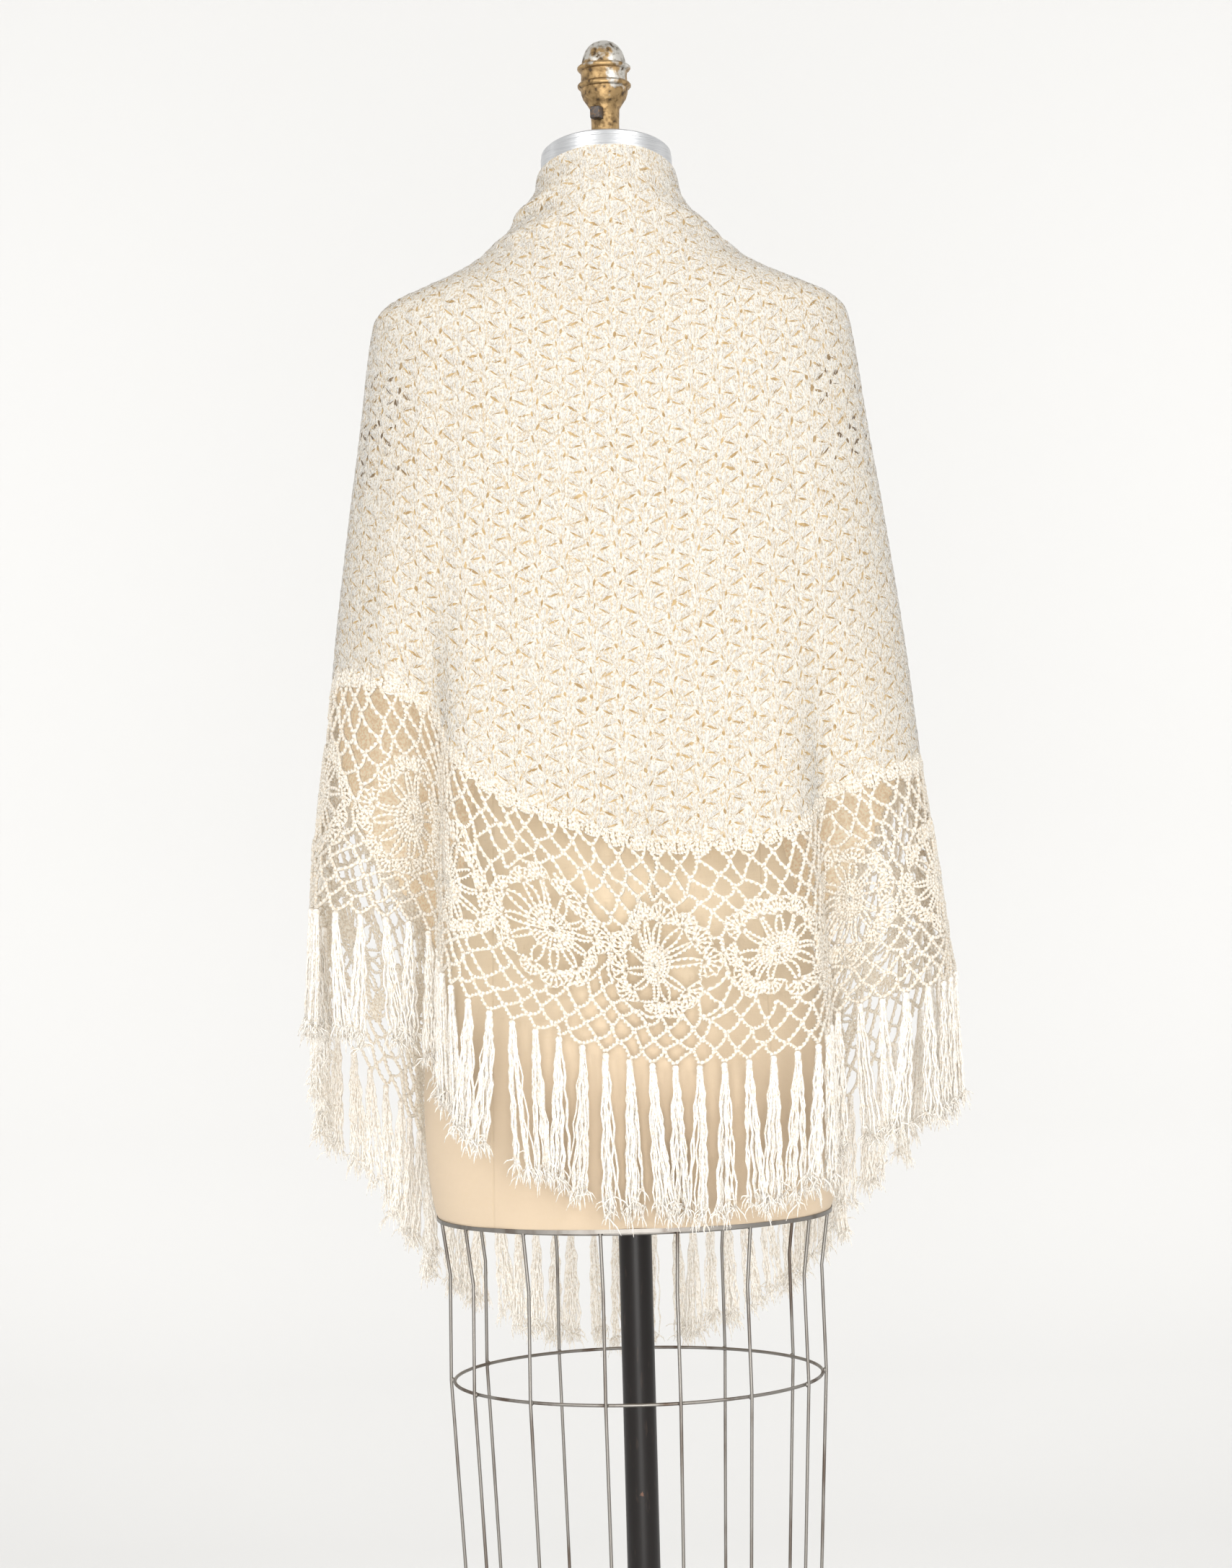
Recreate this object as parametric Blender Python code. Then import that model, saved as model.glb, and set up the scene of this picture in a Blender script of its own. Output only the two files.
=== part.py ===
"""A crocheted lace shawl worn round the shoulders of a dress form, on the form's own pole and foot.

The wearer's back faces -Y, +X is on the right of somebody who looks at that back, +Z is up, and the origin is
on the pole's axis at the floor. Sizes are in metres. A place on the cloth is given by its share of the way
round, from 0 at the centre back to -1 and 1 at the centre front, and by its height.
"""

import math

import bpy
import numpy as np
from mathutils import Matrix, Vector
from mathutils.geometry import delaunay_2d_cdt

# Driving sizes
WALL = 0.002
SEAM = 0.0003
EDGE_GAP = 0.0005
SEAT = 0.0009
FRONT_EDGE = 0.988
YOKE_HEIGHT = 1.400
RUN_SAMPLES = 2001

# The cloth's outer face, a row for each section: height, half width, depth at the back, depth at the front,
# and how square the section is, where 2 is an ellipse.
SECTIONS = (
    (1.600, 0.0575, 0.0600, 0.0560, 2.0),
    (1.570, 0.0578, 0.0615, 0.0565, 2.0),
    (1.554, 0.0585, 0.0640, 0.0585, 2.0),
    (1.535, 0.0625, 0.0680, 0.0640, 2.0),
    (1.524, 0.0700, 0.0710, 0.0700, 2.0),
    (1.511, 0.0820, 0.0745, 0.0760, 2.05),
    (1.502, 0.0905, 0.0770, 0.0800, 2.1),
    (1.490, 0.1040, 0.0800, 0.0840, 2.15),
    (1.474, 0.1320, 0.0845, 0.0880, 2.2),
    (1.462, 0.1600, 0.0885, 0.0915, 2.25),
    (1.451, 0.1840, 0.0925, 0.0960, 2.3),
    (1.438, 0.1960, 0.0970, 0.1010, 2.4),
    (1.420, 0.2000, 0.1020, 0.1060, 2.4),
    (1.342, 0.2110, 0.1130, 0.1250, 2.4),
    (1.267, 0.2225, 0.1180, 0.1390, 2.35),
    (1.162, 0.2370, 0.1225, 0.1440, 2.3),
    (1.042, 0.2510, 0.1320, 0.1480, 2.3),
    (0.916, 0.2650, 0.1430, 0.1550, 2.25),
    (0.790, 0.2700, 0.1500, 0.1640, 2.25),
    (0.620, 0.2560, 0.1540, 0.1740, 2.25),
    (0.500, 0.2500, 0.1550, 0.1760, 2.25),
)

# Upright folds, a row for each: share round, half width as a share, how far it stands out at the hem (a trough
# is negative), the height where it begins and the height where it is whole.
FOLDS = (
    (-0.265, 0.034, -0.046, 1.270, 0.960),
    (-0.195, 0.040, 0.009, 1.200, 0.900),
    (0.010, 0.145, -0.020, 1.270, 0.900),
    (0.272, 0.034, -0.036, 1.200, 0.930),
    (0.205, 0.040, 0.007, 1.200, 0.900),
    (-0.370, 0.050, 0.012, 1.200, 0.950),
    (0.385, 0.050, 0.008, 1.200, 0.900),
    (-0.490, 0.036, -0.018, 1.180, 0.900),
    (0.505, 0.036, -0.018, 1.180, 0.900),
    (-0.600, 0.034, 0.012, 1.150, 0.850),
    (0.615, 0.036, 0.012, 1.150, 0.850),
    (-0.690, 0.036, -0.024, 1.260, 0.880),
    (0.710, 0.036, -0.025, 1.240, 0.880),
    (-0.800, 0.040, 0.010, 1.200, 0.800),
    (0.820, 0.040, 0.009, 1.200, 0.800),
    (-0.885, 0.036, -0.014, 1.100, 0.780),
    (0.900, 0.036, -0.016, 1.100, 0.780),
)

# Soft rolls of the turned-up neck, a row for each: share round, half width as a share, height, half height,
# how far it stands out, and the height that it gains over a whole share.
ROLLS = (
    (-0.400, 0.170, 1.524, 0.0085, 0.0060, 0.020),
    (-0.330, 0.140, 1.499, 0.0075, 0.0045, 0.030),
    (0.360, 0.180, 1.512, 0.0095, 0.0045, -0.030),
    (0.000, 0.260, 1.530, 0.0100, 0.0025, 0.000),
)

# The edges of the cloth, a row for each share round: height of the neck edge, of the shell ground's lower edge
# and of the hem that carries the fringe, and the fringe's length.
EDGES = (
    (-1.00, 1.515, 0.822, 0.650, 0.098),
    (-0.90, 1.522, 0.833, 0.662, 0.098),
    (-0.80, 1.530, 0.862, 0.690, 0.098),
    (-0.70, 1.538, 0.940, 0.766, 0.098),
    (-0.60, 1.547, 1.034, 0.856, 0.096),
    (-0.50, 1.554, 1.118, 0.936, 0.096),
    (-0.40, 1.558, 1.142, 0.957, 0.096),
    (-0.30, 1.562, 1.130, 0.949, 0.098),
    (-0.22, 1.565, 1.078, 0.903, 0.106),
    (-0.15, 1.567, 1.042, 0.872, 0.114),
    (-0.08, 1.569, 1.023, 0.853, 0.118),
    (0.00, 1.569, 1.006, 0.834, 0.120),
    (0.06, 1.569, 0.998, 0.828, 0.120),
    (0.15, 1.568, 1.002, 0.833, 0.120),
    (0.22, 1.566, 1.013, 0.843, 0.116),
    (0.29, 1.563, 1.042, 0.869, 0.110),
    (0.38, 1.559, 1.056, 0.884, 0.106),
    (0.50, 1.554, 1.064, 0.893, 0.104),
    (0.60, 1.547, 1.034, 0.862, 0.100),
    (0.70, 1.538, 0.946, 0.774, 0.098),
    (0.80, 1.530, 0.880, 0.708, 0.098),
    (0.90, 1.522, 0.838, 0.668, 0.098),
    (1.00, 1.515, 0.820, 0.648, 0.098),
)

# Rows of the shell ground, as shares of the drop from the neck edge to the yoke and from there to its edge.
YOKE_ROWS = (0.0, 0.11, 0.22, 0.32, 0.41, 0.50, 0.58, 0.66, 0.75, 0.86, 1.0)
SKIRT_ROWS = (0.2, 0.4, 0.6, 0.8, 1.0)
SEATED_ROWS = YOKE_ROWS[4:9]
COLUMN_STEP = 0.038

# The lace border: wheels between two nets of diamonds.
WHEELS = 18
PETALS = 8
DIAMONDS = 4
STRAND = 0.0036
HUB_RADIUS = 0.0155
WHEEL_RADIUS = 0.0385
WHEEL_PLACE = 0.50
NET_PLACES = (0.125, 0.875)
NET_HALF = 0.105

# The fringe: tassels on the narrow cord of the hem.
TASSELS_A_WHEEL = 5
CORD_DROP = 0.005
KNOT_WIDTH = 0.0055
TASSEL_WIDTH = 0.0120
TASSEL_DEPTH = 0.0075
TASSEL_CLEARANCE = 0.0070

# The form under the cloth, a row for each section as in SECTIONS.
FORM_SECTIONS = (
    (1.330, 0.1620, 0.1010, 0.1180, 2.3),
    (1.267, 0.1500, 0.1030, 0.1250, 2.2),
    (1.200, 0.1400, 0.0980, 0.1180, 2.2),
    (1.120, 0.1265, 0.0900, 0.1030, 2.2),
    (1.060, 0.1225, 0.0885, 0.0970, 2.2),
    (1.000, 0.1300, 0.0950, 0.1000, 2.2),
    (0.930, 0.1500, 0.1070, 0.1060, 2.25),
    (0.870, 0.1660, 0.1160, 0.1100, 2.3),
    (0.800, 0.1746, 0.1200, 0.1120, 2.35),
    (0.730, 0.1715, 0.1180, 0.1110, 2.4),
    (0.699, 0.1660, 0.1140, 0.1080, 2.4),
    (0.694, 0.1630, 0.1110, 0.1050, 2.4),
)
FORM_COLUMNS = 32
FORM_BOTTOM = FORM_SECTIONS[-1][0]
NECK_RADIUS = 0.0530
NECK_FOOT_HEIGHT = 1.533
NECK_FOOT_LEAN = 0.6

# The neck cap, which leans forward, and the finial that clamps the form on its pole.
CAP_TILT = math.radians(11.5)
CAP_CENTRE_TOP = 1.573
CAP_RADIUS = 0.0545
CAP_HEIGHT = 0.022
CAP_ROUND = 0.0015
CAP_SIDES = 40
FINIAL_SIDES = 18
FINIAL_PROFILE = (
    (0.0000, 1.6680),
    (0.0062, 1.6665),
    (0.0118, 1.6620),
    (0.0158, 1.6555),
    (0.0182, 1.6478),
    (0.0218, 1.6470),
    (0.0222, 1.6440),
    (0.0194, 1.6425),
    (0.0194, 1.6335),
    (0.0222, 1.6322),
    (0.0222, 1.6290),
    (0.0198, 1.6280),
    (0.0190, 1.6215),
    (0.0150, 1.6155),
    (0.0122, 1.6110),
    (0.0116, 1.6000),
    (0.0116, 1.5757),
    (0.0000, 1.5757),
)
STEM_RADIUS = 0.0122
SCREW_SIZE = (0.0086, 0.0090, 0.0100)
SCREW_EDGE = 0.0008
SCREW_TURN = math.radians(24)
SCREW_HEIGHT = 1.605

# The pole, the foot and the cage.
POLE_RADIUS = 0.01375
POLE_SIDES = 20
FOOT_RADIUS = 0.210
FOOT_SIDES = 36
HUB_TOP = 0.052
FOOT_PROFILE = (
    (0.0000, HUB_TOP),
    (0.0240, HUB_TOP),
    (0.0280, HUB_TOP - 0.004),
    (0.0300, 0.026),
    (0.0600, 0.021),
    (0.1500, 0.018),
    (FOOT_RADIUS - 0.006, 0.014),
    (FOOT_RADIUS, 0.008),
    (FOOT_RADIUS, 0.0),
    (0.0000, 0.0),
)
WIRE_RADIUS = 0.0014
WIRE_ANGLES = (-90, -59, -34, -10, 12, 35, 62, 90, 122, 151, 178, 206, 236)
# Height, half width and half depth of the cage, a row for each bend of its wires.
CAGE_SECTIONS = (
    (FORM_BOTTOM - 0.0004, 0.1610, 0.1090),
    (0.646, 0.1545, 0.1120),
    (0.558, 0.1560, 0.1200),
    (0.398, 0.1480, 0.1170),
    (0.270, 0.1420, 0.1130),
)
CAGE_RINGS = {"cage_ring_top": 0, "cage_ring_middle": 2, "cage_ring_bottom": 4}


def clear_scene():
    for obj in list(bpy.data.objects):
        bpy.data.objects.remove(obj)


def material(name, colour, roughness, metallic=0.0):
    finish = bpy.data.materials.new(name)
    finish.use_nodes = True
    shader = finish.node_tree.nodes["Principled BSDF"]
    shader.inputs["Base Color"].default_value = (*colour, 1.0)
    shader.inputs["Roughness"].default_value = roughness
    shader.inputs["Metallic"].default_value = metallic
    finish.diffuse_color = (*colour, 1.0)
    return finish


def add_object(name, data, finish):
    obj = bpy.data.objects.new(name, data)
    data.materials.append(finish)
    bpy.context.scene.collection.objects.link(obj)
    return obj


def add_mesh(name, points, faces, finish, smooth_below=math.radians(35)):
    mesh = bpy.data.meshes.new(name)
    mesh.from_pydata([tuple(map(float, point)) for point in points], [], faces)
    mesh.shade_smooth()
    mesh.set_sharp_from_angle(angle=smooth_below)
    return add_object(name, mesh, finish)


def read_rows(rows, places):
    """The columns beside the first, read at these places on smooth curves that never overshoot a row."""
    table = np.array(sorted(rows), float)
    place, values = table[:, 0], table[:, 1:]
    at = np.clip(np.atleast_1d(np.asarray(places, float)), place[0], place[-1])
    step = np.diff(place)[:, None]
    slope = np.diff(values, axis=0) / step
    both = slope[:-1] * slope[1:]
    mean = np.where(both > 0, 2 * both / np.where(both > 0, slope[:-1] + slope[1:], 1), 0)
    tangent = np.vstack([slope[:1], mean, slope[-1:]])
    k = np.clip(np.searchsorted(place, at) - 1, 0, len(place) - 2)
    f = ((at - place[k]) / step[k, 0])[:, None]
    g = 1 - f
    rise = step[k] * f * g * (tangent[k] * g - tangent[k + 1] * f)
    return values[k] * g * g * (1 + 2 * f) + values[k + 1] * f * f * (3 - 2 * f) + rise


def section_points(sections, shares, heights, samples=240):
    """Points of the bare sections at these shares and heights, and the level direction straight out of them."""
    half, back, front, square = read_rows(sections, heights).T[:, :, None]
    angle = np.linspace(0, math.pi, samples + 1)[None, :]
    power = 2 / square
    x = half * np.sin(angle).clip(0) ** power
    depth = np.where(angle <= math.pi / 2, back, front)
    y = -depth * np.sign(np.cos(angle)) * np.abs(np.cos(angle)) ** power
    run = np.cumsum(np.hypot(np.diff(x, axis=1), np.diff(y, axis=1)), axis=1)
    run = np.hstack([np.zeros((len(run), 1)), run]) / run[:, -1:]
    shares = np.asarray(shares, float)
    wanted = np.abs(shares)[:, None]
    k = np.clip((run < wanted).sum(axis=1) - 1, 0, samples - 1)
    row = np.arange(len(k))
    f = (wanted[:, 0] - run[row, k]) / (run[row, k + 1] - run[row, k])
    px = x[row, k] + f * (x[row, k + 1] - x[row, k])
    py = y[row, k] + f * (y[row, k + 1] - y[row, k])
    sizes = read_rows(sections, heights)
    deep = np.where(py <= 0, sizes[:, 1], sizes[:, 2])
    out = np.stack(
        [
            (px / sizes[:, 0]).clip(0) ** (sizes[:, 3] - 1) / sizes[:, 0],
            np.sign(py) * np.abs(py / deep) ** (sizes[:, 3] - 1) / deep,
        ],
        axis=1,
    )
    out /= np.linalg.norm(out, axis=1)[:, None]
    side = np.where(shares < 0, -1.0, 1.0)
    points = np.stack([px * side, py, np.asarray(heights, float)], axis=1)
    outward = np.stack([out[:, 0] * side, out[:, 1], np.zeros(len(side))], axis=1)
    return points, outward


def ease(x):
    x = np.clip(x, 0, 1)
    return x * x * (3 - 2 * x)


def cloth_points(shares, heights):
    """The outer face of the cloth, with its folds and rolls."""
    shares = np.asarray(shares, float)
    heights = np.asarray(heights, float)
    points, outward = section_points(SECTIONS, shares, heights)
    stand = np.zeros(len(shares))
    for place, half, out, begins, whole in FOLDS:
        grown = ease((begins - heights) / (begins - whole))
        stand += out * grown * np.exp(-(((shares - place) / half) ** 2))
    for place, half, height, half_height, out, slant in ROLLS:
        along = (shares - place) / half
        across = (heights - height - slant * (shares - place)) / half_height
        stand += out * np.exp(-(along**2)) * np.exp(-(across**2))
    return points + outward * stand[:, None]


def cloth_faces(shares, heights, depth):
    """Points at this depth under the cloth's outer face, square to it."""
    shares = np.asarray(shares, float)
    heights = np.asarray(heights, float)
    step_share, step_height = 0.002, 0.001
    across = cloth_points(shares + step_share, heights) - cloth_points(shares - step_share, heights)
    up = cloth_points(shares, heights + step_height) - cloth_points(shares, heights - step_height)
    normal = np.cross(across, up)
    normal /= np.linalg.norm(normal, axis=1)[:, None]
    return cloth_points(shares, heights) - depth * normal


def add_wall(name, shares, heights, faces, finish):
    """A cloth wall over these flat faces, whose corners are places on the cloth and turn left seen from outside."""
    outer = cloth_faces(shares, heights, 0)
    inner = cloth_faces(shares, heights, WALL)
    count = len(outer)
    edges = {}
    for face in faces:
        for a, b in zip(face, face[1:] + face[:1]):
            edges[a, b] = True
    rims = []
    for a, b in edges:
        if (b, a) in edges:
            continue
        if shares[a] <= shares[b]:
            rims += [(b, a, b + count), (a, a + count, b + count)]
        else:
            rims += [(b, a, a + count), (b, a + count, b + count)]
    inside = [tuple(i + count for i in reversed(face)) for face in faces]
    return add_mesh(name, np.vstack([outer, inner]), [*map(tuple, faces), *inside, *rims], finish)


def columns(border):
    """Shares for the cloth's upright lines: evenly apart, with one on each fold and one where the border is parted."""
    parted = np.interp(border.ends(WHEELS // 2, WHEELS)[0], border.run, border.shares)
    marks = sorted([-FRONT_EDGE, parted, *(row[0] for row in FOLDS), FRONT_EDGE])
    shares = [marks[0]]
    for a, b in zip(marks, marks[1:]):
        parts = max(1, round((b - a) / COLUMN_STEP))
        shares += [a + (b - a) * (i + 1) / parts for i in range(parts)]
    return np.array(shares)


def yoke_height(shares, drop):
    """Heights this share of the way from the neck edge down to the yoke."""
    top = read_rows(EDGES, shares)[:, 0]
    return top + (YOKE_HEIGHT - top) * drop


def add_ground(border, finish):
    """The shell-stitch ground, one crocheted piece from the neck to the border."""
    shares = columns(border)
    lower = read_rows(EDGES, shares)[:, 1]
    rows = [yoke_height(shares, drop) for drop in YOKE_ROWS]
    rows += [YOKE_HEIGHT + (lower - YOKE_HEIGHT) * drop for drop in SKIRT_ROWS]
    heights = np.concatenate(rows)
    wide = len(shares)
    faces = []
    for r in range(len(rows) - 1):
        for c in range(wide - 1):
            a = r * wide + c
            faces.append([a, a + wide, a + wide + 1, a + 1])
    add_wall("shawl_ground", np.tile(shares, len(rows)), heights, faces, finish)


class Border:
    """The lace border laid flat: run along the hem from the centre back, and drop from the ground's edge to the hem."""

    def __init__(self):
        self.shares = np.linspace(-FRONT_EDGE, FRONT_EDGE, RUN_SAMPLES)
        edge, hem = read_rows(EDGES, self.shares)[:, 1:3].T
        middle = cloth_points(self.shares, (edge + hem) / 2)
        self.run = np.concatenate([[0], np.cumsum(np.linalg.norm(np.diff(middle, axis=0), axis=1))])
        self.run -= np.interp(0, self.shares, self.run)
        self.repeat = (self.run[-1] - self.run[0]) / WHEELS
        self.deep = float(np.mean(edge - hem))

    def ends(self, first, last):
        """Where the strip with these wheels starts and ends."""
        gap = SEAM if last < WHEELS else 0.0
        return self.run[0] + first * self.repeat, self.run[0] + last * self.repeat - gap

    def hem_runs(self, first, last):
        """Both sides of each tassel's knot along the hem, and the two ends."""
        start, end = self.ends(first, last)
        pitch = self.repeat / TASSELS_A_WHEEL
        knots = start + (np.arange((last - first) * TASSELS_A_WHEEL) + 0.5) * pitch
        return np.sort(np.concatenate([[start, end], knots - KNOT_WIDTH / 2, knots + KNOT_WIDTH / 2]))

    def place(self, run, drop):
        """The share and height of a place given by its run and drop."""
        share = np.interp(run, self.run, self.shares)
        edge, hem = read_rows(EDGES, share)[:, 1:3].T
        top = edge - EDGE_GAP
        return share, top + (hem - top) * np.asarray(drop, float)


def wheel_holes(centre, deep):
    """The gaps between a wheel's spokes, each with four corners."""
    holes = []
    for k in range(PETALS):
        middle = (k + 0.5) * 2 * math.pi / PETALS
        corners = []
        for radius, sign in ((HUB_RADIUS, -1), (WHEEL_RADIUS, -1), (WHEEL_RADIUS, 1), (HUB_RADIUS, 1)):
            swing = sign * (math.pi / PETALS - STRAND / 2 / radius)
            run = centre + radius * math.cos(middle + swing)
            corners.append((run, WHEEL_PLACE + radius * math.sin(middle + swing) / deep))
        holes.append(corners)
    return holes


def net_holes(start, repeat, place):
    """The diamonds of a net over one wheel's width."""
    pitch = repeat / DIAMONDS
    half = (pitch - STRAND) / 2
    holes = []
    for k in range(DIAMONDS):
        centre = start + (k + 0.5) * pitch
        holes.append(
            [(centre - half, place), (centre, place - NET_HALF), (centre + half, place), (centre, place + NET_HALF)]
        )
    return holes


def add_border(name, border, first, last, finish):
    """The wheels from first up to last, cut out of one strip of wall."""
    start, end = border.ends(first, last)
    edge_runs = np.interp(columns(border), border.shares, border.run)
    between = edge_runs[(edge_runs > start) & (edge_runs < end)]
    outline = [(run, 0.0) for run in (end, *reversed(between), start)] + [(start, 0.5)]
    outline += [(run, 1.0) for run in border.hem_runs(first, last)] + [(end, 0.5)]
    loops = [outline]
    for k in range(first, last):
        left = border.run[0] + k * border.repeat
        loops += wheel_holes(left + border.repeat / 2, border.deep)
        for place in NET_PLACES:
            loops += net_holes(left, border.repeat, place)
    corners = [Vector((run, -drop * border.deep)) for loop in loops for run, drop in loop]
    indices, used = [], 0
    for loop in loops:
        indices.append(list(range(used, used + len(loop))))
        used += len(loop)
    triangles_round_holes = 2
    flat, _, faces, *_ = delaunay_2d_cdt(corners, [], indices, triangles_round_holes, 1e-6)
    flat = np.array([tuple(point) for point in flat])
    shares, heights = border.place(flat[:, 0], -flat[:, 1] / border.deep)
    add_wall(name, shares, heights, [list(face) for face in faces], finish)


def form_reach(points):
    """How far the form's own section reaches from the axis, towards each of these points."""
    sizes = read_rows(FORM_SECTIONS, points[:, 2])
    deep = np.where(points[:, 1] <= 0, sizes[:, 1], sizes[:, 2])
    radius = np.linalg.norm(points[:, :2], axis=1)
    way = np.abs(points[:, :2]) / radius[:, None]
    power = sizes[:, 3]
    return ((way[:, 0] / sizes[:, 0]) ** power + (way[:, 1] / deep) ** power) ** (-1 / power), radius


def clear_of_form(points):
    """The same points, moved level and outwards where they would touch the form."""
    reach, radius = form_reach(points)
    moved = points.copy()
    moved[:, :2] *= (np.maximum(radius, reach + TASSEL_CLEARANCE) / radius)[:, None]
    return moved


def add_fringe(name, border, first, last, finish):
    """A narrow hem cord with the tassels that hang from it, each a lock of four sides."""
    runs = border.hem_runs(first, last)
    shares = np.interp(runs, border.run, border.shares)
    hem = read_rows(EDGES, shares)[:, 2]
    loops = []
    low = EDGE_GAP + CORD_DROP
    for drop, depth in ((EDGE_GAP, 0), (EDGE_GAP, WALL), (low, WALL), (low, 0)):
        loops.append(cloth_faces(shares, hem - drop, depth))
    points = list(np.stack(loops, axis=1).reshape(-1, 3))
    roots = np.stack(loops, axis=1)
    faces = [(0, 1, 2, 3)]
    for i in range(len(runs) - 1):
        a, b = 4 * i, 4 * (i + 1)
        faces += [(a, a + 3, b + 3, b), (a + 1, a, b + 1), (a, b, b + 1), (a + 2, a + 1, b + 1, b + 2)]
        if i % 2 == 0:
            faces.append((a + 3, a + 2, b + 2, b + 3))
            continue
        length = float(read_rows(EDGES, (shares[i] + shares[i + 1]) / 2)[0, 3])
        corners = roots[i : i + 2, 2:].reshape(-1, 3)
        middle = corners.mean(axis=0)
        along = roots[i + 1, 3] - roots[i, 3]
        along = np.array([along[0], along[1], 0]) / np.hypot(along[0], along[1])
        out = np.array([along[1], -along[0], 0])
        foot = clear_of_form((middle - (0, 0, length))[None, :])[0]
        ends = [
            foot - along * TASSEL_WIDTH / 2 + out * TASSEL_DEPTH / 2,
            foot + along * TASSEL_WIDTH / 2 + out * TASSEL_DEPTH / 2,
            foot + along * TASSEL_WIDTH / 2 - out * TASSEL_DEPTH / 2,
            foot - along * TASSEL_WIDTH / 2 - out * TASSEL_DEPTH / 2,
        ]
        c = len(points)
        points += ends
        top = (a + 3, b + 3, b + 2, a + 2)
        for j in range(4):
            k = (j + 1) % 4
            faces.append((top[k], top[j], c + j, c + k))
        faces.append((c + 3, c + 2, c + 1, c))
    z = 4 * (len(runs) - 1)
    faces.append((z + 3, z + 2, z + 1, z))
    add_mesh(name, points, faces, finish)


def add_form(finish):
    """The padded form: a neck, shoulders that carry the cloth, bust, waist and hips, closed below."""
    shares = np.linspace(-1, 1, FORM_COLUMNS, endpoint=False)
    rings = []
    neck_top = CAP_CENTRE_TOP - CAP_HEIGHT / math.cos(CAP_TILT) - SEAM
    for height, lean in ((neck_top, 1.0), (NECK_FOOT_HEIGHT, NECK_FOOT_LEAN)):
        turn = shares * math.pi
        x = NECK_RADIUS * np.sin(turn)
        y = -NECK_RADIUS * np.cos(turn)
        rings.append(np.stack([x, y, height - y * math.tan(CAP_TILT) * lean], axis=1))
    for drop in SEATED_ROWS:
        rings.append(cloth_faces(shares, yoke_height(shares, drop), WALL + SEAT))
    for row in FORM_SECTIONS:
        rings.append(section_points(FORM_SECTIONS, shares, shares * 0 + row[0])[0])
    faces = [tuple(range(FORM_COLUMNS))]
    for r in range(len(rings) - 1):
        for c in range(FORM_COLUMNS):
            a, b = r * FORM_COLUMNS + c, r * FORM_COLUMNS + (c + 1) % FORM_COLUMNS
            faces.append((a, a + FORM_COLUMNS, b + FORM_COLUMNS, b))
    last = (len(rings) - 1) * FORM_COLUMNS
    faces.append(tuple(last + c for c in reversed(range(FORM_COLUMNS))))
    add_mesh("form_body", np.vstack(rings), faces, finish, math.radians(60))


def turned(name, profile, sides, finish):
    """A solid turned round Z from a profile of radius and height, which runs down from the axis and back to it."""
    inner = profile[1:-1]
    points = [(0, 0, profile[0][1])]
    for radius, height in inner:
        for k in range(sides):
            turn = 2 * math.pi * k / sides
            points.append((radius * math.cos(turn), radius * math.sin(turn), height))
    points.append((0, 0, profile[-1][1]))
    faces = []
    for k in range(sides):
        n = (k + 1) % sides
        faces.append((0, 1 + k, 1 + n))
        for r in range(len(inner) - 1):
            a = 1 + r * sides
            faces.append((a + k, a + sides + k, a + sides + n, a + n))
        a = 1 + (len(inner) - 1) * sides
        faces.append((a + k, len(points) - 1, a + n))
    return add_mesh(name, points, faces, finish)


def add_cap(finish):
    low = -CAP_HEIGHT
    edge = CAP_RADIUS - CAP_ROUND
    profile = (
        (0, 0),
        (edge, 0),
        (CAP_RADIUS, -CAP_ROUND),
        (CAP_RADIUS, low + CAP_ROUND),
        (edge, low),
        (0, low),
    )
    cap = turned("neck_cap", profile, CAP_SIDES, finish)
    cap.location = (0, 0, CAP_CENTRE_TOP)
    cap.rotation_euler = (-CAP_TILT, 0, 0)


def add_set_screw(finish):
    """A square-headed set screw, out of the stem towards the back and a little to the left."""
    wide, deep, tall = SCREW_SIZE
    bpy.ops.mesh.primitive_cube_add(size=1)
    screw = bpy.context.object
    screw.name = screw.data.name = "set_screw"
    screw.data.transform(Matrix.Diagonal((wide, deep, tall, 1)))
    bevel = screw.modifiers.new("Bevel", "BEVEL")
    bevel.width = SCREW_EDGE
    bevel.segments = 1
    away = STEM_RADIUS + SEAM + deep / 2
    screw.location = (-away * math.sin(SCREW_TURN), -away * math.cos(SCREW_TURN), SCREW_HEIGHT)
    screw.rotation_euler = (0, 0, -SCREW_TURN)
    screw.data.materials.append(finish)


def add_wire(name, points, closed, finish):
    curve = bpy.data.curves.new(name, "CURVE")
    curve.dimensions = "3D"
    curve.bevel_depth = WIRE_RADIUS
    curve.bevel_resolution = 1
    curve.use_fill_caps = True
    spline = curve.splines.new("POLY")
    spline.points.add(len(points) - 1)
    for place, point in zip(spline.points, points):
        place.co = (*point, 1)
    spline.use_cyclic_u = closed
    add_object(name, curve, finish)


def cage_point(section, degrees, inset=0.0):
    height, half, deep = section
    turn = math.radians(degrees)
    return ((half - inset) * math.sin(turn), -(deep - inset) * math.cos(turn), height)


def add_cage(finish):
    """The wire skirt: upright wires from the form's lower edge, and rings inside them."""
    for number, degrees in enumerate(WIRE_ANGLES, 1):
        add_wire(f"cage_wire_{number:02d}", [cage_point(row, degrees) for row in CAGE_SECTIONS], False, finish)
    round_angles = []
    for a, b in zip(WIRE_ANGLES, WIRE_ANGLES[1:] + (WIRE_ANGLES[0] + 360,)):
        round_angles += [a, (a + b) / 2]
    for name, row in CAGE_RINGS.items():
        height, half, deep = CAGE_SECTIONS[row]
        if row == 0:
            height = FORM_BOTTOM - SEAM - WIRE_RADIUS
        inset = 2 * WIRE_RADIUS + SEAM
        add_wire(name, [cage_point((height, half, deep), turn, inset) for turn in round_angles], True, finish)


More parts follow.
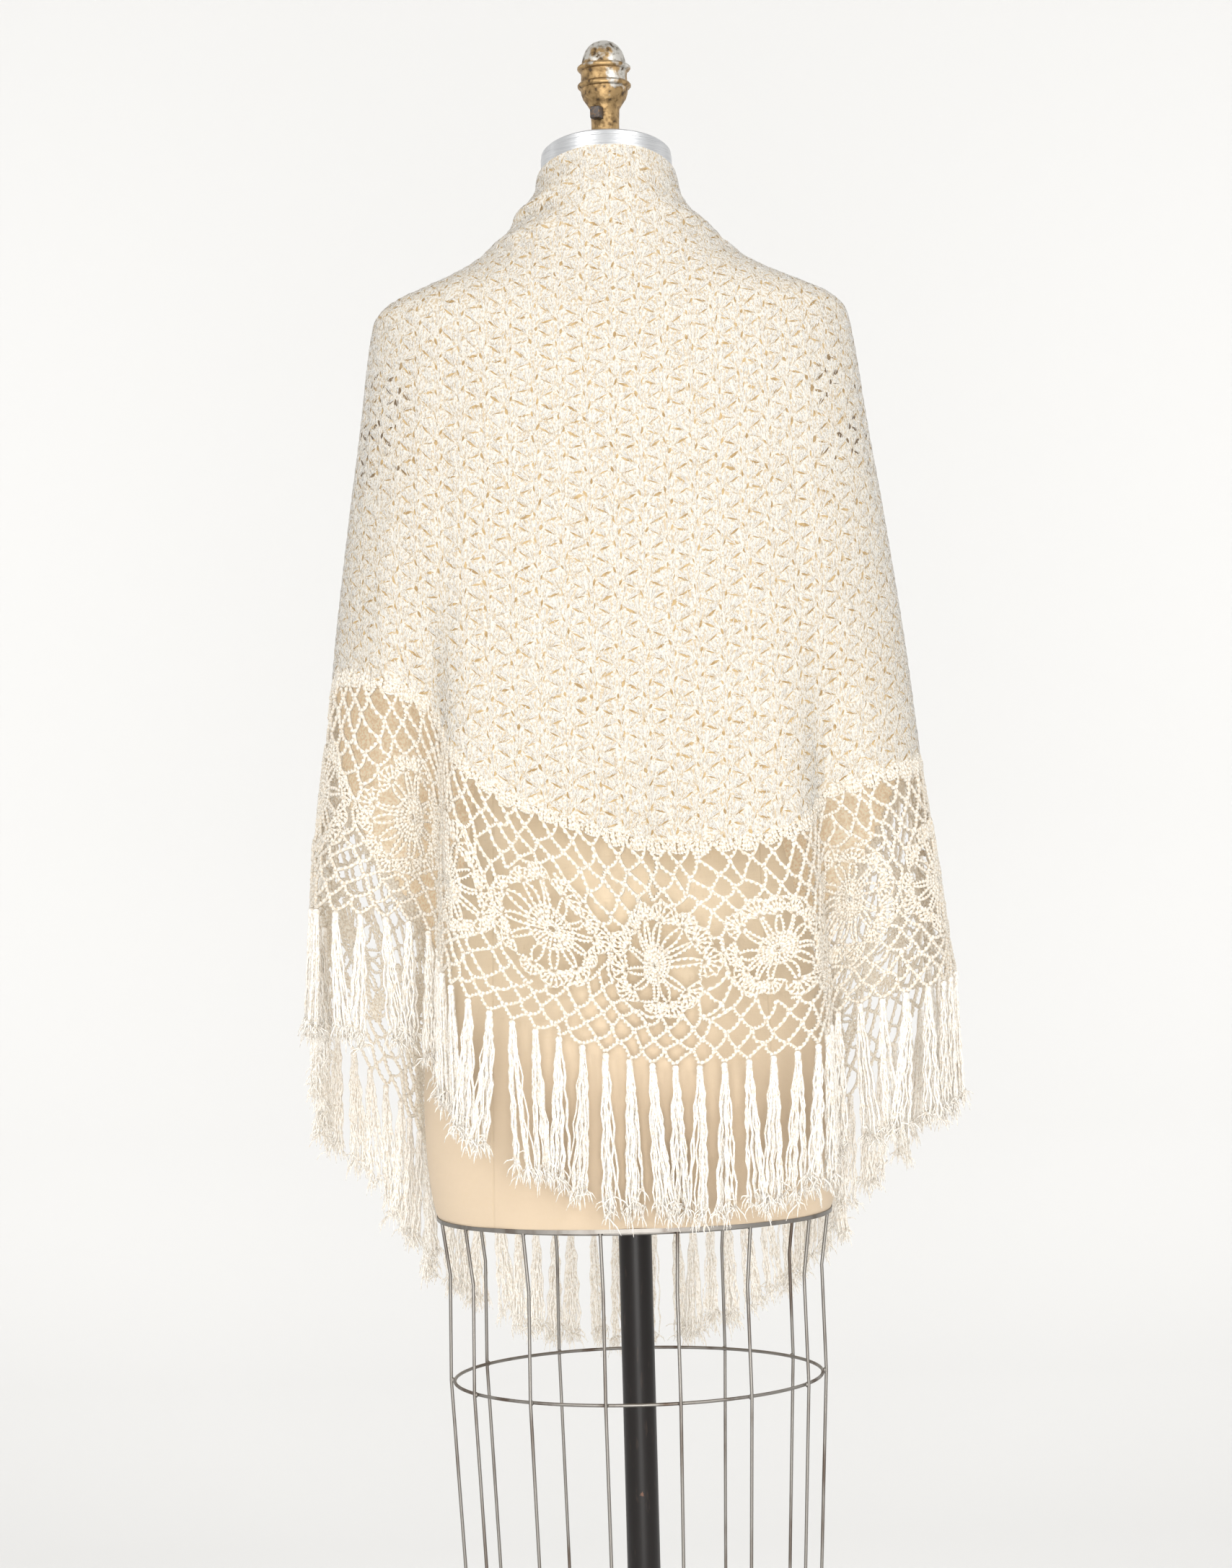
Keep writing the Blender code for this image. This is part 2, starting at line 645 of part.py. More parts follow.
def main():
    clear_scene()
    crochet = material("crochet", (0.87, 0.79, 0.65), 0.85)
    silk = material("fringe_silk", (0.90, 0.84, 0.73), 0.6)
    linen = material("form_linen", (0.83, 0.71, 0.52), 0.9)
    aluminium = material("brushed_aluminium", (0.75, 0.76, 0.77), 0.32, 1.0)
    gilt = material("worn_gilt", (0.55, 0.44, 0.28), 0.4, 1.0)
    dark_steel = material("dark_steel", (0.10, 0.09, 0.08), 0.5, 1.0)
    wire = material("cage_steel", (0.45, 0.43, 0.40), 0.4, 1.0)
    black = material("black_enamel", (0.02, 0.02, 0.02), 0.3)

    border = Border()
    add_ground(border, crochet)
    middle = WHEELS // 2
    for side, first, last in (("left", 0, middle), ("right", middle, WHEELS)):
        add_border(f"lace_border_{side}", border, first, last, crochet)
        add_fringe(f"fringe_{side}", border, first, last, silk)
    add_form(linen)
    add_cap(aluminium)
    turned("finial", FINIAL_PROFILE, FINIAL_SIDES, gilt)
    add_set_screw(dark_steel)
    pole_top = FORM_BOTTOM - SEAM
    pole_foot = HUB_TOP + SEAM
    pole = ((0, pole_top), (POLE_RADIUS, pole_top), (POLE_RADIUS, pole_foot), (0, pole_foot))
    turned("pole", pole, POLE_SIDES, black)
    turned("foot", FOOT_PROFILE, FOOT_SIDES, black)
    add_cage(wire)


main()
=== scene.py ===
"""The looks of a crocheted lace shawl on a dress form, seen from the wearer's back.

The back faces -Y, +X is on the right of somebody who looks at it, +Z is up, and the origin is on the pole's axis
at the floor. Sizes are in metres.
"""

import math

import bpy
import numpy as np
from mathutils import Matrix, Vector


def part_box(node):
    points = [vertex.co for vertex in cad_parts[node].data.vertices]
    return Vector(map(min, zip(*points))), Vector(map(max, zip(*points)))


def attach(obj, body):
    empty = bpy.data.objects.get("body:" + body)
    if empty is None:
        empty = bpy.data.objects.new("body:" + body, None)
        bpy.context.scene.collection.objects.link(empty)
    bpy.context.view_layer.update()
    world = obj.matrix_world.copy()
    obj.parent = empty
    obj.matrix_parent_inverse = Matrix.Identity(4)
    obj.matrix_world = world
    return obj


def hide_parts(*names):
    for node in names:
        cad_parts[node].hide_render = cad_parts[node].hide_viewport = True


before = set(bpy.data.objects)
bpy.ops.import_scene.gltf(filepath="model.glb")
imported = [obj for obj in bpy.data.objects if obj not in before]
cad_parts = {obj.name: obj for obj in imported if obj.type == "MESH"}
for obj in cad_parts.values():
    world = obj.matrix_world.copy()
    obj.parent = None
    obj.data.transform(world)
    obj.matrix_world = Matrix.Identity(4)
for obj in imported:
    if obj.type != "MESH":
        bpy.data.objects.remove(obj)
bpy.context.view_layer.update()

# The foot is a round plate of black enamelled iron with a hub, and the pole a steel tube that stands in that hub.
# Both are turned and then enamelled. The tube is worn satin, with streaks down it and one small chip at the back.


class Value:
    """A number that varies over a surface, for sums in a shader."""

    def __init__(self, finish, socket):
        self.finish = finish
        self.socket = socket

    def worked(self, operation, first, second):
        return self.finish.node("Math", {"operation": operation}, {0: first, 1: second})

    def __add__(self, other):
        return self.worked("ADD", self, other)

    def __sub__(self, other):
        return self.worked("SUBTRACT", self, other)

    def __rsub__(self, other):
        return self.worked("SUBTRACT", other, self)

    def __mul__(self, other):
        return self.worked("MULTIPLY", self, other)

    def __truediv__(self, other):
        return self.worked("DIVIDE", self, other)

    __radd__ = __add__
    __rmul__ = __mul__

    def size(self):
        return self.worked("ABSOLUTE", self, 0)

    def between(self, low, high):
        """0 below low and 1 above high, eased between them."""
        settings = {"interpolation_type": "SMOOTHSTEP"}
        return self.finish.node("MapRange", settings, {"Value": self, "From Min": low, "From Max": high}, "Result")


class Finish:
    """A material, with its constant values set on its own shader."""

    def __init__(self, name, colour, roughness, metallic=0.0, **constants):
        self.material = bpy.data.materials.new(name)
        self.material.use_nodes = True
        self.tree = self.material.node_tree
        self.shader = self.tree.nodes["Principled BSDF"]
        self.feed(self.shader.inputs["Base Color"], colour)
        self.feed(self.shader.inputs["Roughness"], roughness)
        self.feed(self.shader.inputs["Metallic"], metallic)
        for word, value in constants.items():
            self.feed(self.shader.inputs[word.replace("_", " ").title().replace("Ior", "IOR")], value)

    def feed(self, socket, value):
        if isinstance(value, Value):
            self.tree.links.new(value.socket, socket)
        elif isinstance(value, tuple) and len(value) == 3 and socket.type == "RGBA":
            socket.default_value = (*value, 1.0)
        else:
            socket.default_value = value

    def node(self, kind, settings, values, output=0):
        node = self.tree.nodes.new("ShaderNode" + kind)
        for name, value in settings.items():
            setattr(node, name, value)
        for name, value in values.items():
            self.feed(node.inputs[name], value)
        return Value(self, node.outputs[output])

    def place(self, scale=(1, 1, 1), output="Object"):
        """Object or UV coordinates, stretched."""
        where = self.node("TexCoord", {}, {}, output)
        return self.node("Mapping", {}, {"Vector": where, "Scale": scale})

    def axis(self, letter):
        return self.node("SeparateXYZ", {}, {0: self.place()}, "XYZ".index(letter))

    def marked(self, name):
        """A number that the piece's own mesh carries at its points."""
        return self.node("Attribute", {"attribute_name": name}, {}, "Fac")

    def noise(self, scale, detail=3.0, stretch=(1, 1, 1)):
        values = {"Vector": self.place(stretch), "Scale": scale, "Detail": detail}
        return self.node("TexNoise", {}, values, 0)

    def mix(self, first, second, share):
        return self.node("Mix", {"data_type": "RGBA"}, {0: share, 6: first, 7: second}, 2)

    def colour(self, value):
        self.feed(self.shader.inputs["Base Color"], value)

    def rough(self, value):
        self.feed(self.shader.inputs["Roughness"], value)

    def relief(self, height, depth):
        bump = self.node("Bump", {}, {"Height": height, "Distance": depth, "Strength": 1.0})
        self.feed(self.shader.inputs["Normal"], bump)


def settle(piece, finish, slot, *nodes, smooth_below=40):
    """Puts a finished piece's place into its mesh, gives it its finish and its body, and hides the nodes it stands
    for.
    """
    bpy.ops.object.select_all(action="DESELECT")
    piece.select_set(True)
    bpy.context.view_layer.objects.active = piece
    for modifier in list(piece.modifiers):
        bpy.ops.object.modifier_apply(modifier=modifier.name)
    bpy.ops.object.transform_apply(location=True, rotation=True, scale=True)
    bpy.ops.object.shade_smooth_by_angle(angle=math.radians(smooth_below))
    piece.data.materials.clear()
    piece.data.materials.append(finish.material)
    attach(piece, "root")
    if nodes:
        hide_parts(*nodes)
    return piece


def turn_up(name, rows, sides):
    """A turned piece: a disc drawn up through rows of radius and height."""
    bpy.ops.object.select_all(action="DESELECT")
    bpy.ops.mesh.primitive_circle_add(
        vertices=sides, radius=rows[0][0], fill_type="NGON", location=(0, 0, rows[0][1])
    )
    piece = bpy.context.object
    piece.name = piece.data.name = name
    bpy.ops.object.transform_apply(location=True, rotation=False, scale=False)
    bpy.ops.object.mode_set(mode="EDIT")
    bpy.ops.mesh.select_all(action="SELECT")
    for (radius, height), (next_radius, next_height) in zip(rows, rows[1:]):
        bpy.ops.mesh.extrude_region_move(TRANSFORM_OT_translate={"value": (0, 0, next_height - height)})
        grown = next_radius / radius
        bpy.ops.transform.resize(value=(grown, grown, 1))
    bpy.ops.mesh.select_all(action="SELECT")
    bpy.ops.mesh.normals_make_consistent(inside=False)
    bpy.ops.object.mode_set(mode="OBJECT")
    return piece


def rounded(piece, width, segments=3, angle=30):
    bevel = piece.modifiers.new("Rounded edges", "BEVEL")
    bevel.width = width
    bevel.segments = segments
    bevel.angle_limit = math.radians(angle)


POLE_RADIUS = 0.01375
CHIP_HEIGHT = 0.462
CHIP_SIZE = 0.0030

enamel = Finish("black_enamel", (0.012, 0.011, 0.011), 0.3, specular_ior_level=0.32)
streaks = enamel.noise(90, 4, (1, 1, 0.03))
enamel.rough(0.26 + streaks * 0.24)
enamel.relief(streaks, 0.0003)
chip_place = enamel.node("VectorMath", {"operation": "DISTANCE"}, {
    0: enamel.place(),
    1: (0.0, -POLE_RADIUS, CHIP_HEIGHT),
}, "Value")
chip = 1 - (chip_place + enamel.noise(700, 2) * 0.004).between(CHIP_SIZE, CHIP_SIZE + 0.0012)
dust = (enamel.noise(260, 3, (1, 1, 0.2)) - 0.5).between(0.10, 0.22)
black = enamel.mix((0.0075, 0.0055, 0.005), (0.030, 0.020, 0.015), dust * 0.6)
enamel.colour(enamel.mix(black, (0.13, 0.06, 0.035), chip))

foot_low, foot_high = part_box("foot")
foot_radius = foot_high[0]
hub_top = foot_high[2]
foot = turn_up("foot_casting", (
    (foot_radius - 0.004, 0.0),
    (foot_radius, 0.003),
    (foot_radius, 0.008),
    (foot_radius - 0.006, 0.0140),
    (0.150, 0.018),
    (0.060, 0.021),
    (0.034, 0.0235),
    (0.0295, 0.028),
    (0.0280, hub_top - 0.006),
    (0.0275, hub_top - 0.004),
    (0.0240, hub_top),
    (0.0150, hub_top),
), 128)
rounded(foot, 0.0015, 2, 12)
settle(foot, enamel, "foot", "foot")

pole_low, pole_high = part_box("pole")
pole = turn_up("pole_tube", (
    (POLE_RADIUS, pole_low[2]),
    (POLE_RADIUS, CHIP_HEIGHT),
    (POLE_RADIUS, pole_high[2]),
), 64)
settle(pole, enamel, "pole", "pole")

# The form's body is padded and covered in closely woven unbleached linen, cut in panels and sewn along the two
# long back seams and the side seams. Its lower edge is bound with a thin steel rim.

SEAMS = ((0.1115, 0.34), (-0.1090, 0.34))
WEAVE = 0.00062
FORM_BOTTOM = 0.694

linen = Finish("form_linen", (0.85, 0.72, 0.54), 0.92, sheen_weight=0.08)
threads = linen.node("TexWave", {"wave_type": "BANDS", "bands_direction": "X"}, {
    "Vector": linen.place(),
    "Scale": 0.314 / WEAVE,
    "Distortion": 1.2,
    "Detail": 2.0,
}, 1)
picks = linen.node("TexWave", {"wave_type": "BANDS", "bands_direction": "Z"}, {
    "Vector": linen.place(),
    "Scale": 0.314 / WEAVE,
    "Distortion": 1.2,
    "Detail": 2.0,
}, 1)
slubs = linen.noise(55, 3, (1, 1, 14)) * 0.5 + linen.noise(55, 3, (12, 12, 1)) * 0.5
height = linen.axis("Z")
seam_lines = None
for low_place, lean in SEAMS:
    run = linen.axis("X") - (low_place - (height - FORM_BOTTOM - 0.2) * 0.02 * math.copysign(1, low_place))
    line = 1 - (run.size() - 0.0002).between(0.0002, 0.0011)
    seam_lines = line if seam_lines is None else seam_lines + line
side_seam = 1 - (linen.axis("Y").size() - 0.0002).between(0.0002, 0.0012)
seam_lines = seam_lines + side_seam
stains = linen.noise(7, 4).between(0.35, 0.75)
cloth_colour = linen.mix((0.97, 0.83, 0.63), (0.95, 0.79, 0.57), stains * 0.6)
# Painted light: the linen is painted darker over its lowest band and lighter higher up, under the shawl, to make up
# for the shade that the shawl casts there.
cloth_colour = linen.mix((0.69, 0.55, 0.395), cloth_colour, height.between(FORM_BOTTOM + 0.08, FORM_BOTTOM + 0.26))
cloth_colour = linen.mix(cloth_colour, (0.70, 0.55, 0.34), slubs.between(0.50, 0.72) * 0.25)
linen.colour(linen.mix(cloth_colour, (0.55, 0.42, 0.25), seam_lines * 0.18))
linen.relief((threads + picks) * 0.35 + slubs * 0.8 - seam_lines * 0.7, 0.00045)

bpy.ops.object.select_all(action="DESELECT")
body_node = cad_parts["form_body"]
body = body_node.copy()
body.data = body_node.data.copy()
body.name = body.data.name = "form_cover"
for key in list(body.keys()):
    del body[key]
bpy.context.scene.collection.objects.link(body)
body.hide_render = False
body.select_set(True)
bpy.context.view_layer.objects.active = body
bpy.ops.object.mode_set(mode="EDIT")
bpy.ops.mesh.select_all(action="SELECT")
bpy.ops.mesh.remove_doubles(threshold=0.00005)
bpy.ops.mesh.tris_convert_to_quads(face_threshold=math.radians(60), shape_threshold=math.radians(60))
bpy.ops.object.mode_set(mode="OBJECT")
finer = body.modifiers.new("Padding", "SUBSURF")
finer.levels = finer.render_levels = 2
settle(body, linen, "form_cover", "form_body", smooth_below=60)

# The neck cap is a spun aluminium disc, brushed round its side and across its top, and it leans with the neck.

CAP_TILT = math.radians(11.5)
CAP_CENTRE_TOP = 1.573
CAP_RADIUS = 0.0545
CAP_HEIGHT = 0.022

aluminium = Finish("brushed_aluminium", (0.62, 0.63, 0.64), 0.3, 1.0, anisotropic=0.5)
brushing = aluminium.noise(120, 4, (0.25, 0.25, 22))
aluminium.rough(0.22 + brushing * 0.22)
aluminium.colour(aluminium.mix((0.64, 0.65, 0.66), (0.46, 0.47, 0.49), brushing.between(0.35, 0.75)))
aluminium.relief(brushing, 0.00012)
cap = turn_up("neck_cap_disc", (
    (CAP_RADIUS - 0.0015, -CAP_HEIGHT),
    (CAP_RADIUS, 0.0015 - CAP_HEIGHT),
    (CAP_RADIUS, -0.0052),
    (CAP_RADIUS - 0.0005, -0.0048),
    (CAP_RADIUS - 0.0005, -0.0014),
    (CAP_RADIUS - 0.0018, 0.0),
    (CAP_RADIUS - 0.0060, -0.0004),
    (0.018, -0.0004),
    (0.0165, 0.0),
    (0.0135, 0.0),
), 96)
cap.location = (0, 0, CAP_CENTRE_TOP)
cap.rotation_euler = (-CAP_TILT, 0, 0)
settle(cap, aluminium, "cap", "neck_cap")

# The finial is turned brass, silvered long ago and worn through: an acorn over a collar of two rings and a stem.
# It clamps the form on its pole with a dark square-headed set screw.

gilt = Finish("worn_gilt", (0.45, 0.33, 0.17), 0.4, 1.0)
wear = gilt.noise(62, 6)
spots = gilt.noise(210, 5)
brass = gilt.mix((0.40, 0.27, 0.13), (0.23, 0.15, 0.07), spots.between(0.42, 0.62))
silver = gilt.mix((0.60, 0.58, 0.54), (0.40, 0.38, 0.34), spots.between(0.45, 0.60))
worn = (wear + (gilt.axis("Z") - 1.640) * 6.0).between(0.50, 0.58)
gilt.colour(gilt.mix(gilt.mix(brass, silver, worn), (0.10, 0.07, 0.045), spots.between(0.60, 0.68)))
gilt.rough(0.30 + spots * 0.35)
gilt.relief(spots + wear, 0.0005)
STEM_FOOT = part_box("finial")[0][2]
finial = turn_up("finial_turning", (
    (0.0116, STEM_FOOT),
    (0.0116, 1.6000),
    (0.0122, 1.6110),
    (0.0150, 1.6155),
    (0.0178, 1.6195),
    (0.0192, 1.6235),
    (0.0198, 1.6280),
    (0.0212, 1.6284),
    (0.0222, 1.6296),
    (0.0222, 1.6312),
    (0.0212, 1.6325),
    (0.0194, 1.6335),
    (0.0190, 1.6380),
    (0.0194, 1.6425),
    (0.0212, 1.6432),
    (0.0222, 1.6446),
    (0.0220, 1.6462),
    (0.0208, 1.6472),
    (0.0186, 1.6476),
    (0.0182, 1.6505),
    (0.0172, 1.6545),
    (0.0154, 1.6590),
    (0.0126, 1.6630),
    (0.0090, 1.6658),
    (0.0050, 1.6674),
    (0.0012, 1.6680),
), 72)
settle(finial, gilt, "finial", "finial", smooth_below=50)

SCREW_SIZE = (0.0086, 0.0090, 0.0100)
SCREW_TURN = math.radians(24)
SCREW_HEIGHT = 1.605
SCREW_AWAY = 0.0122 + 0.0003 + SCREW_SIZE[1] / 2

steel = Finish("dark_steel", (0.10, 0.09, 0.08), 0.5, 1.0)
rust = steel.noise(420, 4)
steel.colour(steel.mix((0.10, 0.09, 0.085), (0.20, 0.13, 0.08), rust.between(0.45, 0.7)))
steel.relief(rust, 0.0003)
bpy.ops.object.select_all(action="DESELECT")
bpy.ops.mesh.primitive_cube_add(size=1)
screw = bpy.context.object
screw.name = screw.data.name = "set_screw_head"
screw.scale = SCREW_SIZE
bpy.ops.object.transform_apply(location=False, rotation=False, scale=True)
screw.location = (-SCREW_AWAY * math.sin(SCREW_TURN), -SCREW_AWAY * math.cos(SCREW_TURN), SCREW_HEIGHT)
screw.rotation_euler = (0, 0, -SCREW_TURN)
rounded(screw, 0.0010, 3)
settle(screw, steel, "set_screw", "set_screw")

# The cage is a skirt of drawn steel wire: thirteen uprights from the form's lower edge, spot welded to three rings.
# The wire is bare, a little rusty at the welds, and the form's rim is a strip of the same steel.


def mesh_of(name, points, *faces):
    """A new object from an array of points and arrays of faces, one for each number of corners. A fourth column
    of the points, from 0 to 1, says how much painted shade each gets, where it lies deep in a crease."""
    mesh = bpy.data.meshes.new(name)
    corners = np.concatenate([face.ravel() for face in faces]).astype(np.int32)
    counts = np.concatenate([np.full(len(face), face.shape[1]) for face in faces])
    mesh.vertices.add(len(points))
    mesh.vertices.foreach_set("co", points[:, :3].astype(np.float32).ravel())
    mesh.loops.add(len(corners))
    mesh.loops.foreach_set("vertex_index", corners)
    mesh.polygons.add(len(counts))
    mesh.polygons.foreach_set("loop_start", (np.cumsum(counts) - counts).astype(np.int32))
    mesh.update(calc_edges=True)
    mesh.validate()
    if points.shape[1] == 4:
        painted_shade = mesh.attributes.new("painted_shade", "FLOAT", "POINT")
        painted_shade.data.foreach_set("value", points[:, 3].astype(np.float32))
    piece = bpy.data.objects.new(name, mesh)
    bpy.context.scene.collection.objects.link(piece)
    return piece


def unit(vectors):
    return vectors / np.linalg.norm(vectors, axis=-1, keepdims=True)


def tubes(centres, ups, radii, sides, creases=None):
    """Points and faces of tubes along rows of centres. ups points away from the cloth. radii has a row for each
    tube, and so has creases, which says how much painted shade each ring gets, for lying deep in a crease."""
    along = unit(np.gradient(centres, axis=1))
    side = unit(np.cross(along, ups))
    up = np.cross(side, along)
    turn = (np.arange(sides) + 0.5) * 2 * math.pi / sides
    ring = np.cos(turn)[:, None] * side[:, :, None] + np.sin(turn)[:, None] * up[:, :, None]
    points = centres[:, :, None] + radii[:, :, None, None] * ring
    index = np.arange(points.size // 3).reshape(points.shape[:3])
    low, high = index[:, :-1], index[:, 1:]
    walls = np.stack([high, np.roll(high, -1, 2), np.roll(low, -1, 2), low], axis=-1).reshape(-1, 4)
    ends = np.concatenate([index[:, 0], index[:, -1, ::-1]])
    if creases is not None:
        creases = np.broadcast_to(creases[:, :, None, None], (*points.shape[:3], 1))
        points = np.concatenate([points, creases], axis=-1)
    return points.reshape(-1, points.shape[-1]), walls, ends


def joined(name, parts):
    """One object from many lots of points and faces."""
    used = 0
    points, faces = [], {}
    for part in parts:
        points.append(part[0])
        for face in part[1:]:
            faces.setdefault(face.shape[1], []).append(face + used)
        used += len(part[0])
    return mesh_of(name, np.concatenate(points), *(np.concatenate(lot) for lot in faces.values()))


WIRE_RADIUS = 0.0014
WIRE_ANGLES = (-90, -59, -34, -10, 12, 35, 62, 90, 122, 151, 178, 206, 236)
# Height, half width and half depth of the cage, a row for each bend of its wires.
CAGE_SECTIONS = (
    (FORM_BOTTOM - 0.0004, 0.1610, 0.1090),
    (0.646, 0.1545, 0.1120),
    (0.558, 0.1560, 0.1200),
    (0.398, 0.1480, 0.1170),
    (0.270, 0.1420, 0.1130),
)
CAGE_RINGS = (("top", 0), ("middle", 2), ("bottom", 4))
RIM_SECTION = (0.1634, 0.1114, 0.1054, 2.4)
RIM_HALF_HEIGHT = 0.0016
RIM_HALF_WALL = 0.0006


def cage_points(degrees, inset=0.0):
    """Points down one wire, on a smooth curve through the cage's sections."""
    height, half, deep = np.array(CAGE_SECTIONS).T
    steps = np.linspace(0, len(height) - 1, 25)
    fine = [np.interp(steps, np.arange(len(height)), column) for column in (height, half, deep)]
    turn = math.radians(degrees)
    return np.stack([(fine[1] - inset) * math.sin(turn), -(fine[2] - inset) * math.cos(turn), fine[0]], axis=1)


wire_steel = Finish("cage_steel", (0.45, 0.43, 0.40), 0.38, 1.0)
grime = wire_steel.noise(38, 4, (1, 1, 0.3))
wire_steel.colour(wire_steel.mix((0.27, 0.255, 0.235), (0.13, 0.10, 0.08), grime.between(0.48, 0.68)))
wire_steel.rough(0.30 + grime * 0.3)
for number, degrees in enumerate(WIRE_ANGLES, 1):
    line = cage_points(degrees)[None]
    out = unit(line * (1, 1, 0))
    wire = joined(f"wire_{number:02d}", [tubes(line, out, np.full(line.shape[:2], WIRE_RADIUS), 10)])
    settle(wire, wire_steel, "cage", f"cage_wire_{number:02d}")

for name, row in CAGE_RINGS:
    height, half, deep = CAGE_SECTIONS[row]
    if row == 0:
        height = FORM_BOTTOM - 0.0003 - WIRE_RADIUS
    inset = 2 * WIRE_RADIUS + 0.0003
    turn = np.linspace(0, 2 * math.pi, 145)
    line = np.stack([(half - inset) * np.sin(turn), -(deep - inset) * np.cos(turn), turn * 0 + height], axis=1)[None]
    parts = [tubes(line, np.array([[[0.0, 0.0, 1.0]]]), np.full(line.shape[:2], WIRE_RADIUS), 10)]
    for degrees in WIRE_ANGLES:
        spot = math.radians(degrees)
        middle = np.array([(half - inset / 2) * math.sin(spot), -(deep - inset / 2) * math.cos(spot), height])
        weld = middle + np.array([0, 0, 1.0]) * np.linspace(-0.0022, 0.0022, 5)[:, None]
        weld_radii = np.array([[0.0006, 0.0016, 0.0020, 0.0016, 0.0006]])
        parts.append(tubes(weld[None], np.array([[[math.sin(spot), -math.cos(spot), 0.0]]]), weld_radii, 10))
    settle(joined(f"ring_{name}", parts), wire_steel, "cage", f"cage_ring_{name}")


def level_outline(section, shares, samples=240):
    """Points round one level section: x, y and the way straight out, at each share of the way round."""
    half, back, front, square = section
    angle = np.linspace(0, math.pi, samples + 1)
    x = half * np.sin(angle).clip(0) ** (2 / square)
    deep = np.where(angle <= math.pi / 2, back, front)
    y = -deep * np.sign(np.cos(angle)) * np.abs(np.cos(angle)) ** (2 / square)
    run = np.concatenate([[0], np.cumsum(np.hypot(np.diff(x), np.diff(y)))])
    px = np.interp(np.abs(shares), run / run[-1], x)
    py = np.interp(np.abs(shares), run / run[-1], y)
    side = np.where(shares < 0, -1.0, 1.0)
    out_x = (px / half).clip(0) ** (square - 1) / half
    sized = np.where(py <= 0, back, front)
    out_y = np.sign(py) * np.abs(py / sized) ** (square - 1) / sized
    out = unit(np.stack([out_x * side, out_y], axis=-1))
    return np.stack([px * side, py], axis=-1), out


around = np.linspace(-1, 1, 161)
rim_line, rim_out = level_outline(RIM_SECTION, around)
rim_line = np.concatenate([rim_line, np.full((len(around), 1), FORM_BOTTOM + 0.0012)], axis=1)
rim_out = np.concatenate([rim_out, np.zeros((len(around), 1))], axis=1)
strip = []
for across, up in ((-1, -1), (1, -1), (1, 1), (-1, 1)):
    strip.append(rim_line + rim_out * across * RIM_HALF_WALL + np.array([0, 0, up * RIM_HALF_HEIGHT]))
strip = np.stack(strip, axis=1)
index = np.arange(len(around) * 4).reshape(-1, 4)
low, high = index[:-1], index[1:]
rim_faces = np.stack([low, high, np.roll(high, -1, 1), np.roll(low, -1, 1)], axis=-1).reshape(-1, 4)
settle(mesh_of("form_rim", strip.reshape(-1, 3), rim_faces), wire_steel, "cage")

# The shawl's ground is one piece of mercerised cotton crochet in rows of leaning shells. It hangs from the rolled
# neck over the shoulders, with two deep folds at the back. It is a thin sheet, with every stitch raised on it.

FRONT_EDGE = 0.988
# The cloth's outer face, a row for each section: height, half width, depth at the back, depth at the front,
# and how square the section is, where 2 is an ellipse.
SECTIONS = (
    (1.600, 0.0575, 0.0600, 0.0560, 2.0),
    (1.570, 0.0578, 0.0615, 0.0565, 2.0),
    (1.554, 0.0585, 0.0640, 0.0585, 2.0),
    (1.535, 0.0625, 0.0680, 0.0640, 2.0),
    (1.524, 0.0700, 0.0710, 0.0700, 2.0),
    (1.511, 0.0820, 0.0745, 0.0760, 2.05),
    (1.502, 0.0905, 0.0770, 0.0800, 2.1),
    (1.490, 0.1040, 0.0800, 0.0840, 2.15),
    (1.474, 0.1320, 0.0845, 0.0880, 2.2),
    (1.462, 0.1600, 0.0885, 0.0915, 2.25),
    (1.451, 0.1840, 0.0925, 0.0960, 2.3),
    (1.438, 0.1960, 0.0970, 0.1010, 2.4),
    (1.420, 0.2000, 0.1020, 0.1060, 2.4),
    (1.342, 0.2110, 0.1130, 0.1250, 2.4),
    (1.267, 0.2225, 0.1180, 0.1390, 2.35),
    (1.162, 0.2370, 0.1225, 0.1440, 2.3),
    (1.042, 0.2510, 0.1320, 0.1480, 2.3),
    (0.916, 0.2650, 0.1430, 0.1550, 2.25),
    (0.790, 0.2700, 0.1500, 0.1640, 2.25),
    (0.620, 0.2560, 0.1540, 0.1740, 2.25),
    (0.500, 0.2500, 0.1550, 0.1760, 2.25),
)
# Upright folds, a row for each: share round, half width as a share, how far it stands out at the hem (a trough
# is negative), the height where it begins and the height where it is whole.
FOLDS = (
    (-0.265, 0.034, -0.046, 1.270, 0.960),
    (-0.195, 0.040, 0.009, 1.200, 0.900),
    (0.010, 0.145, -0.020, 1.270, 0.900),
    (0.272, 0.034, -0.036, 1.200, 0.930),
    (0.205, 0.040, 0.007, 1.200, 0.900),
    (-0.370, 0.050, 0.012, 1.200, 0.950),
    (0.385, 0.050, 0.008, 1.200, 0.900),
    (-0.490, 0.036, -0.018, 1.180, 0.900),
    (0.505, 0.036, -0.018, 1.180, 0.900),
    (-0.600, 0.034, 0.012, 1.150, 0.850),
    (0.615, 0.036, 0.012, 1.150, 0.850),
    (-0.690, 0.036, -0.024, 1.260, 0.880),
    (0.710, 0.036, -0.025, 1.240, 0.880),
    (-0.800, 0.040, 0.010, 1.200, 0.800),
    (0.820, 0.040, 0.009, 1.200, 0.800),
    (-0.885, 0.036, -0.014, 1.100, 0.780),
    (0.900, 0.036, -0.016, 1.100, 0.780),
)
